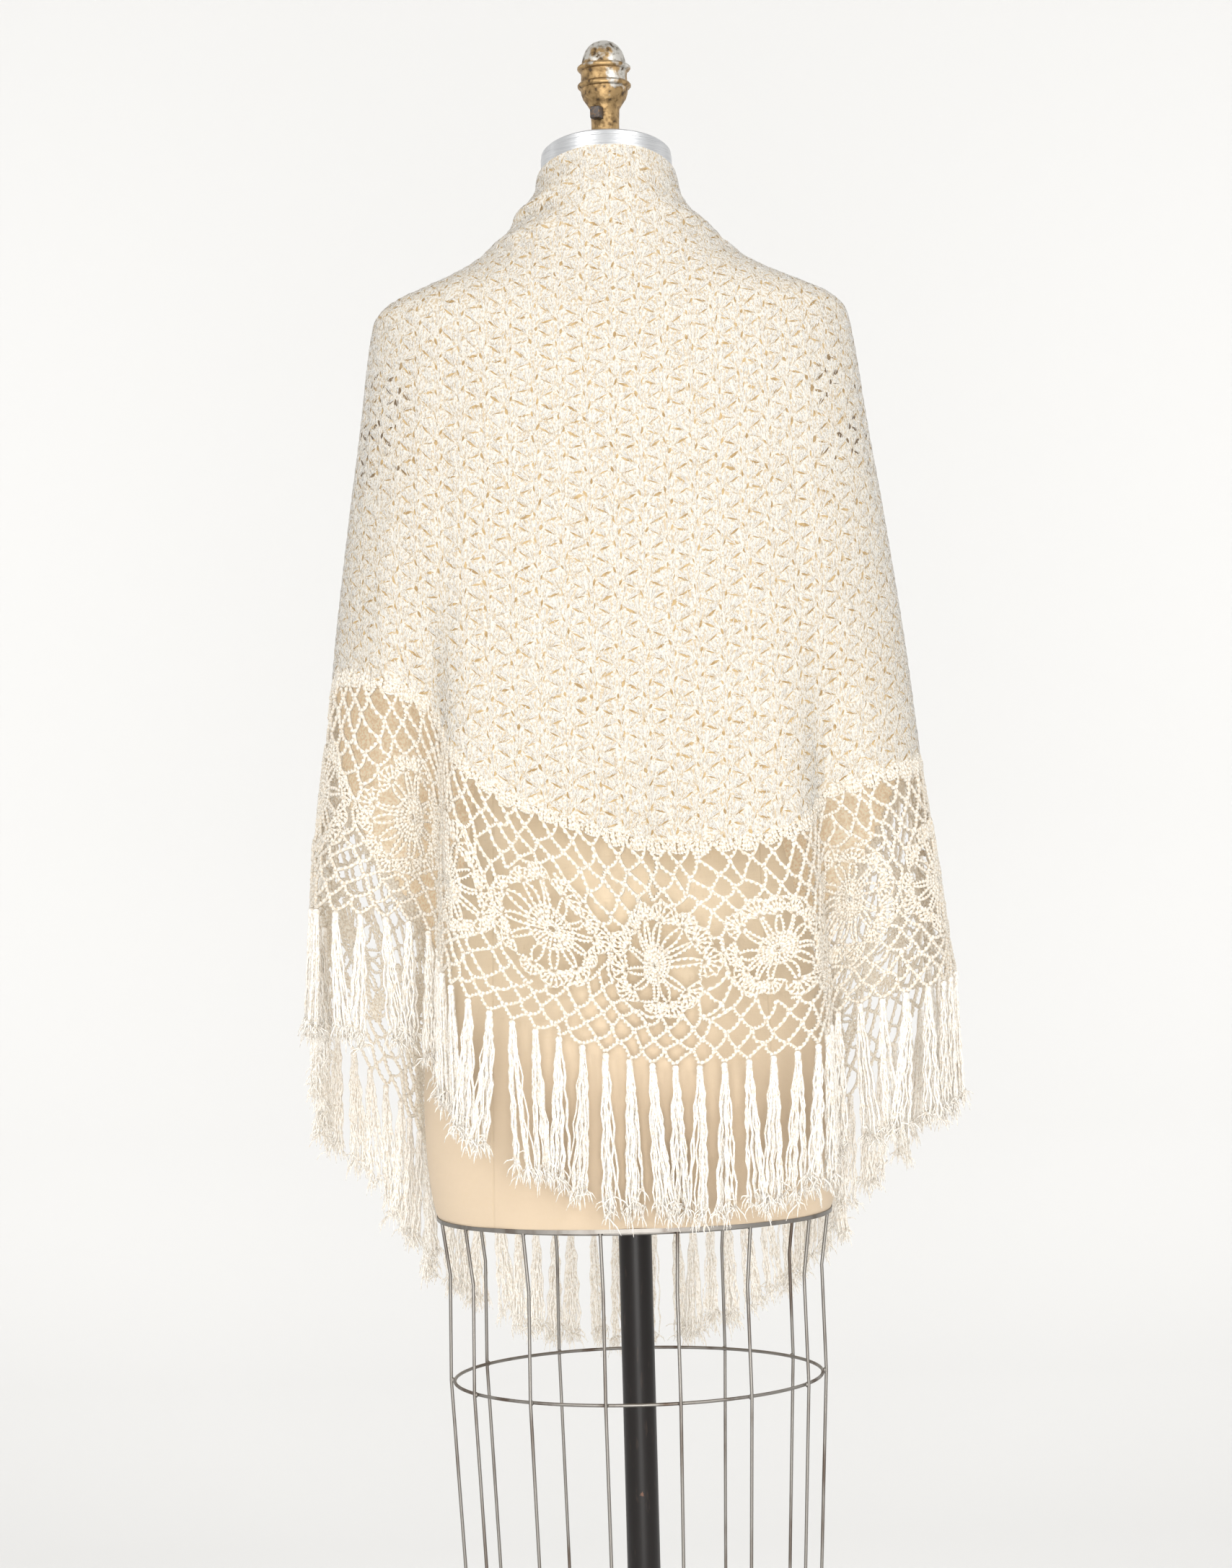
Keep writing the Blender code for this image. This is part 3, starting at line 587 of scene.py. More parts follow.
# Soft rolls of the turned-up neck, a row for each: share round, half width as a share, height, half height,
# how far it stands out, and the height that it gains over a whole share.
ROLLS = (
    (-0.400, 0.170, 1.524, 0.0085, 0.0060, 0.020),
    (-0.330, 0.140, 1.499, 0.0075, 0.0045, 0.030),
    (0.360, 0.180, 1.512, 0.0095, 0.0045, -0.030),
    (0.000, 0.260, 1.530, 0.0100, 0.0025, 0.000),
    (-0.300, 0.160, 1.532, 0.0060, 0.0030, 0.075),
    (-0.330, 0.150, 1.516, 0.0045, -0.0030, 0.070),
    (0.250, 0.120, 1.546, 0.0050, 0.0022, -0.050),
    (0.420, 0.110, 1.494, 0.0050, 0.0035, -0.060),
    (-0.120, 0.090, 1.512, 0.0060, 0.0020, 0.050),
)
# Shallow creases where the cloth hangs or turns, a row for each: share round, height, half width as a share,
# half length, the share that it gains over a metre of drop, and how far it stands out.
CREASES = (
    (0.022, 0.960, 0.017, 0.140, 0.02, 0.0060),
    (0.055, 0.970, 0.014, 0.110, 0.02, -0.0030),
    (-0.014, 0.980, 0.012, 0.090, 0.00, -0.0022),
    (-0.250, 1.300, 0.020, 0.120, 0.10, -0.0020),
    (0.262, 1.280, 0.020, 0.110, -0.10, -0.0018),
    (-0.120, 1.090, 0.018, 0.090, 0.05, 0.0014),
    (0.110, 1.100, 0.020, 0.080, -0.04, 0.0012),
    (-0.045, 1.160, 0.016, 0.070, 0.02, -0.0010),
    (0.165, 1.200, 0.015, 0.075, 0.03, -0.0011),
    (-0.330, 1.220, 0.016, 0.085, -0.06, 0.0015),
    (-0.420, 1.330, 0.014, 0.060, 0.12, -0.0018),
    (0.430, 1.320, 0.015, 0.065, -0.12, -0.0017),
    (-0.560, 1.280, 0.018, 0.090, 0.08, 0.0016),
    (0.570, 1.260, 0.018, 0.095, -0.08, 0.0016),
    (-0.740, 1.240, 0.016, 0.110, 0.06, -0.0018),
    (0.760, 1.230, 0.017, 0.100, -0.06, -0.0017),
    (-0.900, 1.120, 0.016, 0.120, 0.03, 0.0014),
    (0.880, 1.140, 0.015, 0.110, -0.03, 0.0014),
)
# The edges of the cloth, a row for each share round: height of the neck edge, of the shell ground's lower edge
# and of the hem that carries the fringe, and the fringe's length.
EDGES = (
    (-1.00, 1.515, 0.822, 0.650, 0.098),
    (-0.90, 1.522, 0.833, 0.662, 0.098),
    (-0.80, 1.530, 0.862, 0.690, 0.098),
    (-0.70, 1.538, 0.940, 0.766, 0.098),
    (-0.60, 1.547, 1.034, 0.856, 0.096),
    (-0.50, 1.554, 1.118, 0.936, 0.096),
    (-0.40, 1.558, 1.142, 0.957, 0.096),
    (-0.30, 1.562, 1.130, 0.949, 0.098),
    (-0.22, 1.565, 1.078, 0.903, 0.106),
    (-0.15, 1.567, 1.042, 0.872, 0.114),
    (-0.08, 1.569, 1.023, 0.853, 0.118),
    (0.00, 1.569, 1.006, 0.834, 0.120),
    (0.06, 1.569, 0.998, 0.828, 0.120),
    (0.15, 1.568, 1.002, 0.833, 0.120),
    (0.22, 1.566, 1.013, 0.843, 0.116),
    (0.29, 1.563, 1.042, 0.869, 0.110),
    (0.38, 1.559, 1.056, 0.884, 0.106),
    (0.50, 1.554, 1.064, 0.893, 0.104),
    (0.60, 1.547, 1.034, 0.862, 0.100),
    (0.70, 1.538, 0.946, 0.774, 0.098),
    (0.80, 1.530, 0.880, 0.708, 0.098),
    (0.90, 1.522, 0.838, 0.668, 0.098),
    (1.00, 1.515, 0.820, 0.648, 0.098),
)
CLOTH_TOP, CLOTH_LOW = 1.590, 0.520
HEIGHT_STEPS, SHARE_STEPS = 429, 721


def read_rows(rows, places):
    """The columns beside the first, read at these places on smooth curves that never overshoot a row."""
    table = np.array(sorted(rows), float)
    place, values = table[:, 0], table[:, 1:]
    at = np.clip(np.atleast_1d(np.asarray(places, float)), place[0], place[-1])
    step = np.diff(place)[:, None]
    slope = np.diff(values, axis=0) / step
    both = slope[:-1] * slope[1:]
    mean = np.where(both > 0, 2 * both / np.where(both > 0, slope[:-1] + slope[1:], 1), 0)
    tangent = np.vstack([slope[:1], mean, slope[-1:]])
    k = np.clip(np.searchsorted(place, at) - 1, 0, len(place) - 2)
    f = ((at - place[k]) / step[k, 0])[:, None]
    g = 1 - f
    rise = step[k] * f * g * (tangent[k] * g - tangent[k + 1] * f)
    return values[k] * g * g * (1 + 2 * f) + values[k + 1] * f * f * (3 - 2 * f) + rise


def hump(value, place, half):
    return np.exp(-(((value - place) / half) ** 2))


def cloth_row(height, shares):
    """The cloth's outer face at one height, with its folds, rolls and creases."""
    flat, out = level_outline(read_rows(SECTIONS, height)[0], shares)
    stand = np.zeros(len(shares))
    for place, half, far, begins, whole in FOLDS:
        grown = min(max((begins - height) / (begins - whole), 0), 1)
        stand += far * grown * grown * (3 - 2 * grown) * hump(shares, place, half)
    for place, half, level, half_height, far, slant in ROLLS:
        stand += far * hump(shares, place, half) * hump(height, level + slant * (shares - place), half_height)
    for place, level, half, half_length, slant, far in CREASES:
        middle = place + slant * (level - height)
        stand += far * hump(shares, middle, half) * hump(height, level, half_length)
    flat = flat + out * stand[:, None]
    return np.concatenate([flat, np.full((len(shares), 1), height)], axis=1)


grid_heights = np.linspace(CLOTH_LOW, CLOTH_TOP, HEIGHT_STEPS)
grid_shares = np.linspace(-1, 1, SHARE_STEPS)
grid_points = np.stack([cloth_row(height, grid_shares) for height in grid_heights])
grid_normals = unit(np.cross(np.gradient(grid_points, axis=1), np.gradient(grid_points, axis=0)))


def on_cloth(shares, heights, lift=0.0):
    """Points on the cloth and the directions square out of it, lifted off it by so much."""
    down = (np.asarray(heights) - CLOTH_LOW) / (CLOTH_TOP - CLOTH_LOW) * (HEIGHT_STEPS - 1)
    across = (np.asarray(shares) + 1) / 2 * (SHARE_STEPS - 1)
    row = np.clip(down.astype(int), 0, HEIGHT_STEPS - 2)
    column = np.clip(across.astype(int), 0, SHARE_STEPS - 2)
    f, g = (down - row)[..., None], (across - column)[..., None]
    both = []
    for grid in (grid_points, grid_normals):
        low = grid[row, column] * (1 - g) + grid[row, column + 1] * g
        high = grid[row + 1, column] * (1 - g) + grid[row + 1, column + 1] * g
        both.append(low * (1 - f) + high * f)
    normals = unit(both[1])
    return both[0] + normals * np.asarray(lift)[..., None], normals


# The sheet under the stitches, the colour of cotton in its own shade.
SHEET_COLUMNS, SHEET_ROWS = 190, 84
SHEET_DEPTH = 0.0006
SHEET_WALL = 0.0012
SHEET_SHORT = 0.004

cotton = Finish("crochet_cotton", (0.81, 0.77, 0.70), 0.72, sheen_weight=0.08)
twist = cotton.noise(900, 2)
knots = cotton.noise(430, 3)
loops = cotton.noise(500, 2, (1.25, 1.25, 0.8))
warmth = cotton.noise(5, 3).between(0.3, 0.7)
# The posts are painted darker at their sides and feet, where they lie in each other's shade: painted shade.
painted_groove_shade = cotton.marked("painted_shade").between(0.15, 0.9) * 0.55
flecks = (1 - loops.between(0.37, 0.47)) * 0.72
cotton_colour = cotton.mix((0.665, 0.650, 0.615), (0.645, 0.623, 0.580), warmth)
cotton_colour = cotton.mix(cotton_colour, (0.53, 0.45, 0.33), painted_groove_shade)
cotton.colour(cotton.mix(cotton_colour, (0.44, 0.34, 0.22), flecks))
cotton.relief(twist * 0.4 + knots + loops * 1.4, 0.0015)

hollow = Finish("crochet_shade", (0.58, 0.54, 0.47), 0.9)
depths = hollow.noise(440, 3)
hollow.colour(hollow.mix((0.620, 0.592, 0.535), (0.49, 0.40, 0.28), 1 - depths.between(0.40, 0.54)))
hollow.relief(depths, 0.0010)

# The cloth's inner side has a painted glow, which stands in for the light that comes through the open work.
inner = Finish("crochet_inside_painted_glow", (0.90, 0.80, 0.64), 0.9, emission_color=(1.0, 0.86, 0.67), emission_strength=0.20)
inner_depths = inner.noise(420, 3)
inner.colour(inner.mix((0.88, 0.81, 0.68), (0.70, 0.59, 0.43), inner_depths.between(0.40, 0.60)))
inner.relief(inner_depths, 0.0008)

# The gaps between the shells are patches of painted shade: tan, like shaded linen seen through them and varied at
# random, and near black beside the arms, like a dark hollow seen through them.
gap_shade = Finish("crochet_gaps_painted_shade", (0.55, 0.40, 0.20), 0.9)
shade = gap_shade.noise(160, 3)
arm_shade = gap_shade.axis("X").size().between(0.150, 0.178) * gap_shade.axis("Z").between(1.285, 1.315)
arm_shade = arm_shade * (1 - gap_shade.axis("Z").between(1.375, 1.410)) * gap_shade.noise(40, 2).between(0.49, 0.54)
gap_shade_colour = gap_shade.mix((0.46, 0.33, 0.17), (0.30, 0.20, 0.09), shade.between(0.35, 0.65))
gap_shade.colour(gap_shade.mix(gap_shade_colour, (0.13, 0.09, 0.055), arm_shade))

sheet_shares = np.linspace(-FRONT_EDGE, FRONT_EDGE, SHEET_COLUMNS + 1)
neck_edge, ground_edge, hem_edge, fringe_length = read_rows(EDGES, sheet_shares).T
fall = np.linspace(0, 1, SHEET_ROWS + 1)[:, None]
sheet_points, _ = on_cloth(
    np.broadcast_to(sheet_shares, (SHEET_ROWS + 1, SHEET_COLUMNS + 1)),
    neck_edge + (ground_edge + SHEET_SHORT - neck_edge) * fall,
    -SHEET_DEPTH,
)
index = np.arange(sheet_points.size // 3).reshape(SHEET_ROWS + 1, SHEET_COLUMNS + 1)
sheet_faces = np.stack([index[:-1, :-1], index[1:, :-1], index[1:, 1:], index[:-1, 1:]], axis=-1).reshape(-1, 4)
ground = mesh_of("ground_cloth", sheet_points.reshape(-1, 3), sheet_faces)
wall = ground.modifiers.new("Cloth", "SOLIDIFY")
wall.thickness = SHEET_WALL
wall.offset = -1
settle(ground, hollow, "crochet", "shawl_ground", smooth_below=60)
ground.data.materials.append(inner.material)
for face in ground.data.polygons[len(sheet_faces):2 * len(sheet_faces)]:
    face.material_index = 1

# One cell of the ground, a row for each post of a shell: foot across and up, head across and up, as shares of the
# cell. Shells lean left in one row and right in the next.
SHELL = (
    (0.630, 0.00, 0.175, 0.56),
    (0.640, -0.14, 0.215, 0.74),
    (0.680, -0.22, 0.320, 0.83),
    (0.735, -0.26, 0.460, 0.92),
    (0.800, -0.27, 0.615, 1.05),
    (0.865, -0.27, 0.770, 1.14),
    (0.930, -0.25, 0.925, 1.12),
    (0.990, -0.18, 1.070, 0.86),
)
# The gaps beside a shell, drawn as patches of painted shade, a row for each: one end across and up, the other end
# across and up, and its width.
GAPS = (
    (0.245, 0.285, 0.690, -0.110, 0.0016),
    (1.055, 0.100, 1.140, 0.620, 0.0017),
)
CELL_WIDTH = 0.0210
CELL_HEIGHT = 0.0100
# Where each ring of a post is along it, with its width, its height over the sheet and how much painted shade it gets,
# for lying deep in a crease.
POST_RINGS = ((0.0, 0.0014, 0.0002, 0.6), (0.62, 0.0029, 0.0008, 0.0), (1.0, 0.0022, 0.0004, 0.3))
POST_JITTER = 0.00060
LATTICE_STEP = CELL_WIDTH / 4
BELOW_EDGE = 0.030
rng = np.random.default_rng(41)

fine_shares = np.linspace(-FRONT_EDGE, FRONT_EDGE, 401)
edges = read_rows(EDGES, fine_shares)
drop_steps = np.linspace(0, 1, 241)[:, None]
column_heights = edges[:, 0] + (edges[:, 1] - BELOW_EDGE - edges[:, 0]) * drop_steps
column_points, _ = on_cloth(np.broadcast_to(fine_shares, column_heights.shape), column_heights)
column_runs = np.cumsum(np.linalg.norm(np.diff(column_points, axis=0), axis=2), axis=0)
column_runs = np.vstack([np.zeros((1, len(fine_shares))), column_runs])
whole_drop = np.array([
    np.interp(-edges[i, 1], -column_heights[:, i], column_runs[:, i]) for i in range(len(fine_shares))
])
shell_rows = int(whole_drop.max() / CELL_HEIGHT) + 1
lattice_runs = np.arange(-180, 181) * LATTICE_STEP
lattice_share = np.full((shell_rows + 2, len(lattice_runs)), np.nan)
lattice_height = lattice_share.copy()
for r in range(shell_rows + 2):
    level = np.array([
        np.interp(r * CELL_HEIGHT, column_runs[:, i], column_heights[:, i]) for i in range(len(fine_shares))
    ])
    line, _ = on_cloth(fine_shares, level)
    run = np.concatenate([[0], np.cumsum(np.linalg.norm(np.diff(line, axis=0), axis=1))])
    run -= np.interp(0, fine_shares, run)
    lattice_share[r] = np.interp(lattice_runs, run, fine_shares, left=np.nan, right=np.nan)
    lattice_height[r] = np.interp(lattice_share[r], fine_shares, level)


def on_ground(across, down):
    """Share and height of a place given by its run across from the centre back and its drop from the neck edge."""
    row = down / CELL_HEIGHT
    column = (across - lattice_runs[0]) / LATTICE_STEP
    r = np.clip(row.astype(int), 0, len(lattice_share) - 2)
    c = np.clip(column.astype(int), 0, len(lattice_runs) - 2)
    f, g = row - r, column - c
    found = []
    for grid in (lattice_share, lattice_height):
        low = grid[r, c] * (1 - g) + grid[r, c + 1] * g
        high = grid[r + 1, c] * (1 - g) + grid[r + 1, c + 1] * g
        found.append(low * (1 - f) + high * f)
    return found


def ridges(feet, heads, normals, rings, closed=False):
    """Low-lying posts from their feet to their heads, with a ridge along each, and an underside where closed."""
    side = unit(np.cross(heads - feet, normals))
    levels = []
    for place, width, height, painted_shade in rings:
        middle = feet + (heads - feet) * place
        level = np.stack([
            middle - side * width / 2 - normals * 0.0006,
            middle + normals * height,
            middle + side * width / 2 - normals * 0.0006,
        ], axis=1)
        # Each ring's sides get full painted shade, and its ridge as much as its row says.
        deep = np.broadcast_to(np.array([1.0, painted_shade, 1.0])[:, None], (*level.shape[:2], 1))
        levels.append(np.concatenate([level, deep], axis=2))
    points = np.stack(levels, axis=1)
    index = np.arange(points.size // 4).reshape(points.shape[:3])
    low, high = index[:, :-1], index[:, 1:]
    quads = np.stack([low[..., :-1], low[..., 1:], high[..., 1:], high[..., :-1]], axis=-1).reshape(-1, 4)
    if not closed:
        return points.reshape(-1, 4), quads
    under = np.stack([low[..., -1], low[..., 0], high[..., 0], high[..., -1]], axis=-1).reshape(-1, 4)
    ends = np.concatenate([index[:, 0, ::-1], index[:, -1]])
    return points.reshape(-1, 4), np.concatenate([quads, under]), ends


def all_over(rows, lift):
    """Each row of a cell's table at every cell of the ground: both ends and the normals between them, its middle's
    share round, and its row in the table."""
    table = np.array(rows)
    each_way = int(lattice_runs[-1] / CELL_WIDTH)
    row, cell, kind = np.meshgrid(
        np.arange(shell_rows), np.arange(-each_way, each_way), np.arange(len(rows)), indexing="ij"
    )
    row, cell, kind = row.ravel(), cell.ravel(), kind.ravel()
    found = []
    for column in (0, 2):
        across = np.where(row % 2 == 1, 1 - table[kind, column], table[kind, column])
        run = (cell + across) * CELL_WIDTH + rng.normal(0, POST_JITTER, len(across))
        drop = (row + 1 - table[kind, column + 1]) * CELL_HEIGHT + rng.normal(0, POST_JITTER, len(across))
        found.append((*on_ground(run, np.maximum(drop, 0.0004)), drop))
    (foot_share, foot_height, foot_drop), (head_share, head_height, head_drop) = found
    share = (foot_share + head_share) / 2
    lowest = np.interp(np.nan_to_num(share), fine_shares, whole_drop)
    kept = np.isfinite(share) & (np.maximum(foot_drop, head_drop) < lowest) & (foot_drop + head_drop > 0.004)
    feet, foot_normals = on_cloth(foot_share[kept], foot_height[kept], lift)
    heads, head_normals = on_cloth(head_share[kept], head_height[kept], lift)
    return feet, heads, unit(foot_normals + head_normals), share[kept], kind[kept]


feet, heads, post_normals, post_shares, _ = all_over(SHELL, -SHEET_DEPTH)
for name, low_share, high_share in (("left", -1, -0.30), ("back", -0.30, 0.30), ("right", 0.30, 1)):
    there = (post_shares >= low_share) & (post_shares < high_share)
    piece = joined(f"ground_stitches_{name}", [ridges(feet[there], heads[there], post_normals[there], POST_RINGS)])
    settle(piece, cotton, "crochet", smooth_below=180)

# Each gap is a flat patch of painted shade laid on the ground. Beside the arms the patches are wider.
starts, ends, gap_normals, _, kinds = all_over(GAPS, 0.0002 - SHEET_DEPTH)
half_width = np.array(GAPS)[kinds, 4][:, None] / 2 * rng.normal(1, 0.35, (len(kinds), 1)).clip(0.2)
at_arm = (np.abs(starts[:, 0]) > 0.158) & (np.abs(starts[:, 2] - 1.350) < 0.045) & (starts[:, 1] < 0)
half_width *= np.where(at_arm, 1.7, 1.0)[:, None]
gap_side = unit(np.cross(ends - starts, gap_normals)) * half_width
third = (ends - starts) / 3
gap_points = np.stack([
    starts, starts + third + gap_side, ends - third + gap_side, ends, ends - third - gap_side, starts + third - gap_side,
], axis=1)
gap_faces = np.arange(gap_points.size // 3).reshape(-1, 6)
gaps = settle(mesh_of("ground_gaps_painted_shade", gap_points.reshape(-1, 3), gap_faces), gap_shade, "crochet")

# The lace border is crocheted on to the ground's edge: scallops of posts, a net of chained loops, eighteen wheels
# of spokes round a solid hub with shells round them, and more net down to the hem. It is made in two stretches.

EDGE_GAP = 0.0005
WHEELS = 18
NET_COLUMNS = 5
NET_ROWS = 16
WHEEL_REACH = 0.0455
HUB_REACH = 0.0152
# The rounds of posts of a hub, a row for each: how many posts, and where they begin and end.
HUB_ROUNDS = ((20, 0.0030, 0.0105), (30, 0.0098, 0.0156))
PETALS = 12
PETAL_FOOT = 0.0325
PETAL_SIZE = 0.0136
PETAL_POSTS = 8
STRAND_RADIUS = 0.00168
SPOKE_RADIUS = 0.00150
POST_RADIUS = 0.00150
RING_STEP = 0.0017
NODE_JITTER = 0.0018
SCALLOP_POSTS = 9
SCALLOP_RADIUS = 0.00155
SCALLOP_DEEP = 0.0050
SCALLOP_FOOT = -0.0075
LACE_DEPTH = 0.0010
# How the lace is pulled out of true where it hangs, a row for each wave: turns along and down, start and size.
STRETCHES = (
    (52.0, 30.0, 1.3, 0.0032),
    (95.0, -55.0, 0.4, 0.0020),
    (23.0, 14.0, 2.1, 0.0026),
)
# Where it has slipped, a row for each place: run, half width, how far along and down, and how much it is squeezed.
SLIPS = (
    (0.000, 0.420, 0.0110, 0.0000, 0.00),
    (-0.005, 0.090, 0.0000, 0.0080, 0.00),
    (0.012, 0.030, 0.0000, 0.0000, 0.22),
    (-0.300, 0.110, 0.0100, 0.0100, 0.00),
    (0.275, 0.100, 0.0060, 0.0080, 0.00),
)
# How far its lower edge is ruffled outwards at the sides and fronts.
RUFFLE = 0.008


class Border:
    """The border laid flat: run along the hem from the centre back, and drop from the ground's edge."""

    def __init__(self):
        self.shares = np.linspace(-FRONT_EDGE, FRONT_EDGE, 2001)
        edge, hem = read_rows(EDGES, self.shares)[:, 1:3].T
        middle, _ = on_cloth(self.shares, (edge + hem) / 2)
        self.run = np.concatenate([[0], np.cumsum(np.linalg.norm(np.diff(middle, axis=0), axis=1))])
        self.run -= np.interp(0, self.shares, self.run)
        self.repeat = (self.run[-1] - self.run[0]) / WHEELS
        self.deep = float(np.mean(edge - hem))
        self.wheels = self.run[0] + (np.arange(WHEELS) + 0.5) * self.repeat
        self.parting = (self.run[0] + self.run[-1]) / 2

    def at(self, run, drop, lift=0.0):
        """Points and normals at these runs and drops, both in metres, with the lace pulled out of true."""
        drop = np.asarray(drop, float)
        give = np.sin(math.pi * np.clip(drop / self.deep, 0, 1))
        pulled = np.zeros(np.broadcast(run, drop).shape)
        slipped = pulled.copy()
        for along, down, start, far in STRETCHES:
            pulled += np.sin(run * along + drop * down + start) * far
            slipped += np.cos(run * along * 0.8 - drop * down + start * 2) * far
        for place, half, along, down, squeeze in SLIPS:
            near = hump(run, place, half)
            pulled += (along - (run - place) * squeeze) * near
            slipped += down * near
        share = np.interp(run + pulled * give, self.run, self.shares)
        rows = read_rows(EDGES, np.ravel(share))
        edge, hem = rows[:, 1].reshape(share.shape), rows[:, 2].reshape(share.shape)
        top = edge - EDGE_GAP
        height = top + (hem - top) * (drop + slipped * give) / self.deep
        wave = np.sin(run * 84 + drop * 14 + 0.6) * 0.35 + np.sin(run * 37 + 2.0) * 0.15 + 0.5
        ruffle = RUFFLE * wave * np.clip((np.abs(share) - 0.30) / 0.12, 0, 1) * np.clip(drop / self.deep, 0, 1.1)
        return on_cloth(share, height, lift - LACE_DEPTH + ruffle)


border = Border()


def strands(start, end, radius=STRAND_RADIUS, bow=0.0012, swell=0.0, lift=0.0, sunk=0.0):
    """Chained strands between places on the flat border, bowed by chance and by swell, and plumped at each link.
    Each starts sunk so much lower than it ends."""
    long = float(np.median(np.linalg.norm(end - start, axis=1)))
    steps = max(4, int(round(long / RING_STEP)) + 1)
    f = np.linspace(0, 1, steps)[None, :, None]
    way = unit(end - start)
    square = np.stack([-way[:, 1], way[:, 0]], axis=1)
    link = np.where(np.arange(steps) % 2, 1.0, -1.0)
    bend = (rng.normal(0, bow, len(start)) + swell)[:, None, None] * np.sin(math.pi * f)
    flat = start[:, None] + (end - start)[:, None] * f + square[:, None] * (bend + 0.0004 * link[None, :, None])
    lift = lift - sunk * (1 - f[..., 0]) + rng.normal(0, 0.0003, (len(start), 1))
    centres, normals = border.at(flat[..., 0], flat[..., 1], lift)
    radii = np.broadcast_to(radius * (1 + 0.26 * link), (len(start), steps))
    # The narrow rings between the links get full painted shade, and the plump ones none.
    return tubes(centres, normals, radii, 4, np.broadcast_to(0.5 - 0.5 * link, radii.shape))


def net_loops():
    """Both ends of every chained loop of the two nets, which end on the wheels' rims."""
    pitch = border.repeat / NET_COLUMNS
    count = WHEELS * NET_COLUMNS
    row, column = np.meshgrid(np.arange(NET_ROWS + 1), np.arange(count + 1), indexing="ij")
    run = border.run[0] + (column + np.where(row % 2 == 0, 0.5, 0.0)) * pitch
    run = np.clip(run, border.run[0] + 0.001, border.run[-1] - 0.001)
    drop = np.where(row == 0, -0.003, row * border.deep / NET_ROWS)
    inner = (row > 0) & (row < NET_ROWS)
    nodes = np.stack([run, drop], axis=-1)
    nodes = nodes + rng.normal(0, NODE_JITTER, nodes.shape) * inner[..., None]
    nearest = border.wheels[np.abs(run[..., None] - border.wheels).argmin(axis=-1)]
    centre = np.stack([nearest, np.full_like(nearest, border.deep / 2)], axis=-1)
    away = np.linalg.norm(nodes - centre, axis=-1)
    inside = away < WHEEL_REACH - 0.002
    moved = centre + (nodes - centre) * (WHEEL_REACH / np.maximum(away, 1e-6))[..., None]
    shown = np.where(inside[..., None], moved, nodes)
    starts, ends = [], []
    for r in range(NET_ROWS):
        for step in (0, 1) if r % 2 == 0 else (-1, 0):
            here = np.arange(count + 1)
            there = here + step
            fits = (there >= 0) & (there <= count)
            here, there = here[fits], there[fits]
            near = np.linalg.norm(shown[r, here] - shown[r + 1, there], axis=1)
            out = ~(inside[r, here] & inside[r + 1, there]) & (near > 0.004) & (near < 0.026)
            starts.append(shown[r, here[out]])
            ends.append(shown[r + 1, there[out]])
    return np.concatenate(starts), np.concatenate(ends)


def wheel_parts(hub):
    """One wheel: a solid hub round a hole, long loops for spokes, and a shell of posts at the end of each loop."""
    tilt = rng.uniform(0, 2 * math.pi)

    def round_hub(turn, radius):
        return hub + np.stack([np.cos(turn), np.sin(turn)], axis=-1) * np.asarray(radius)[..., None]

    parts = []
    for count, low, high in HUB_ROUNDS:
        turn = tilt + np.arange(count) * 2 * math.pi / count + rng.normal(0, 0.02, count)
        reach = high + rng.normal(0, 0.0006, count)
        parts.append(strands(round_hub(turn, low), round_hub(turn, reach), POST_RADIUS, 0.0003))
    turn = np.linspace(0, 2 * math.pi, 19)
    for radius in (HUB_ROUNDS[0][1], HUB_REACH):
        ring = round_hub(turn, radius)
        parts.append(strands(ring[:-1], ring[1:], SPOKE_RADIUS, 0.0003, -0.0004))
    aims = tilt + (np.arange(PETALS) + 0.5) * 2 * math.pi / PETALS + rng.normal(0, 0.05, PETALS)
    bases = round_hub(aims, PETAL_FOOT + rng.normal(0, 0.0016, PETALS))
    for side in (-1, 1):
        feet = round_hub(aims + side * 0.14 + rng.normal(0, 0.03, PETALS), HUB_REACH)
        ends = bases + unit(bases - hub)[:, ::-1] * (-side, side) * 0.0009
        parts.append(strands(feet, ends, SPOKE_RADIUS, 0.0011, side * 0.0012))
    fan = np.linspace(-1, 1, PETAL_POSTS)
    turns = (aims + rng.normal(0, 0.12, PETALS))[:, None] + fan * rng.uniform(1.25, 1.60, (PETALS, 1))
    ways = np.stack([np.cos(turns), np.sin(turns)], axis=-1)
    sizes = PETAL_SIZE * rng.normal(1, 0.08, (PETALS, 1)) * (1 - 0.15 * np.abs(fan))
    heads = bases[:, None] + ways * (sizes + rng.normal(0, 0.0006, sizes.shape))[..., None]
    feet = (bases[:, None] + ways * 0.0020).reshape(-1, 2)
    parts.append(strands(feet, heads.reshape(-1, 2), POST_RADIUS, 0.0004, lift=0.0006))
    parts.append(strands(heads[:, :-1].reshape(-1, 2), heads[:, 1:].reshape(-1, 2), 0.0010, 0.0005, 0.0009, 0.0008))
    parts.append(strands(heads[:, -1], np.roll(heads[:, 0], -1, axis=0), 0.0011, 0.0008))
    return parts


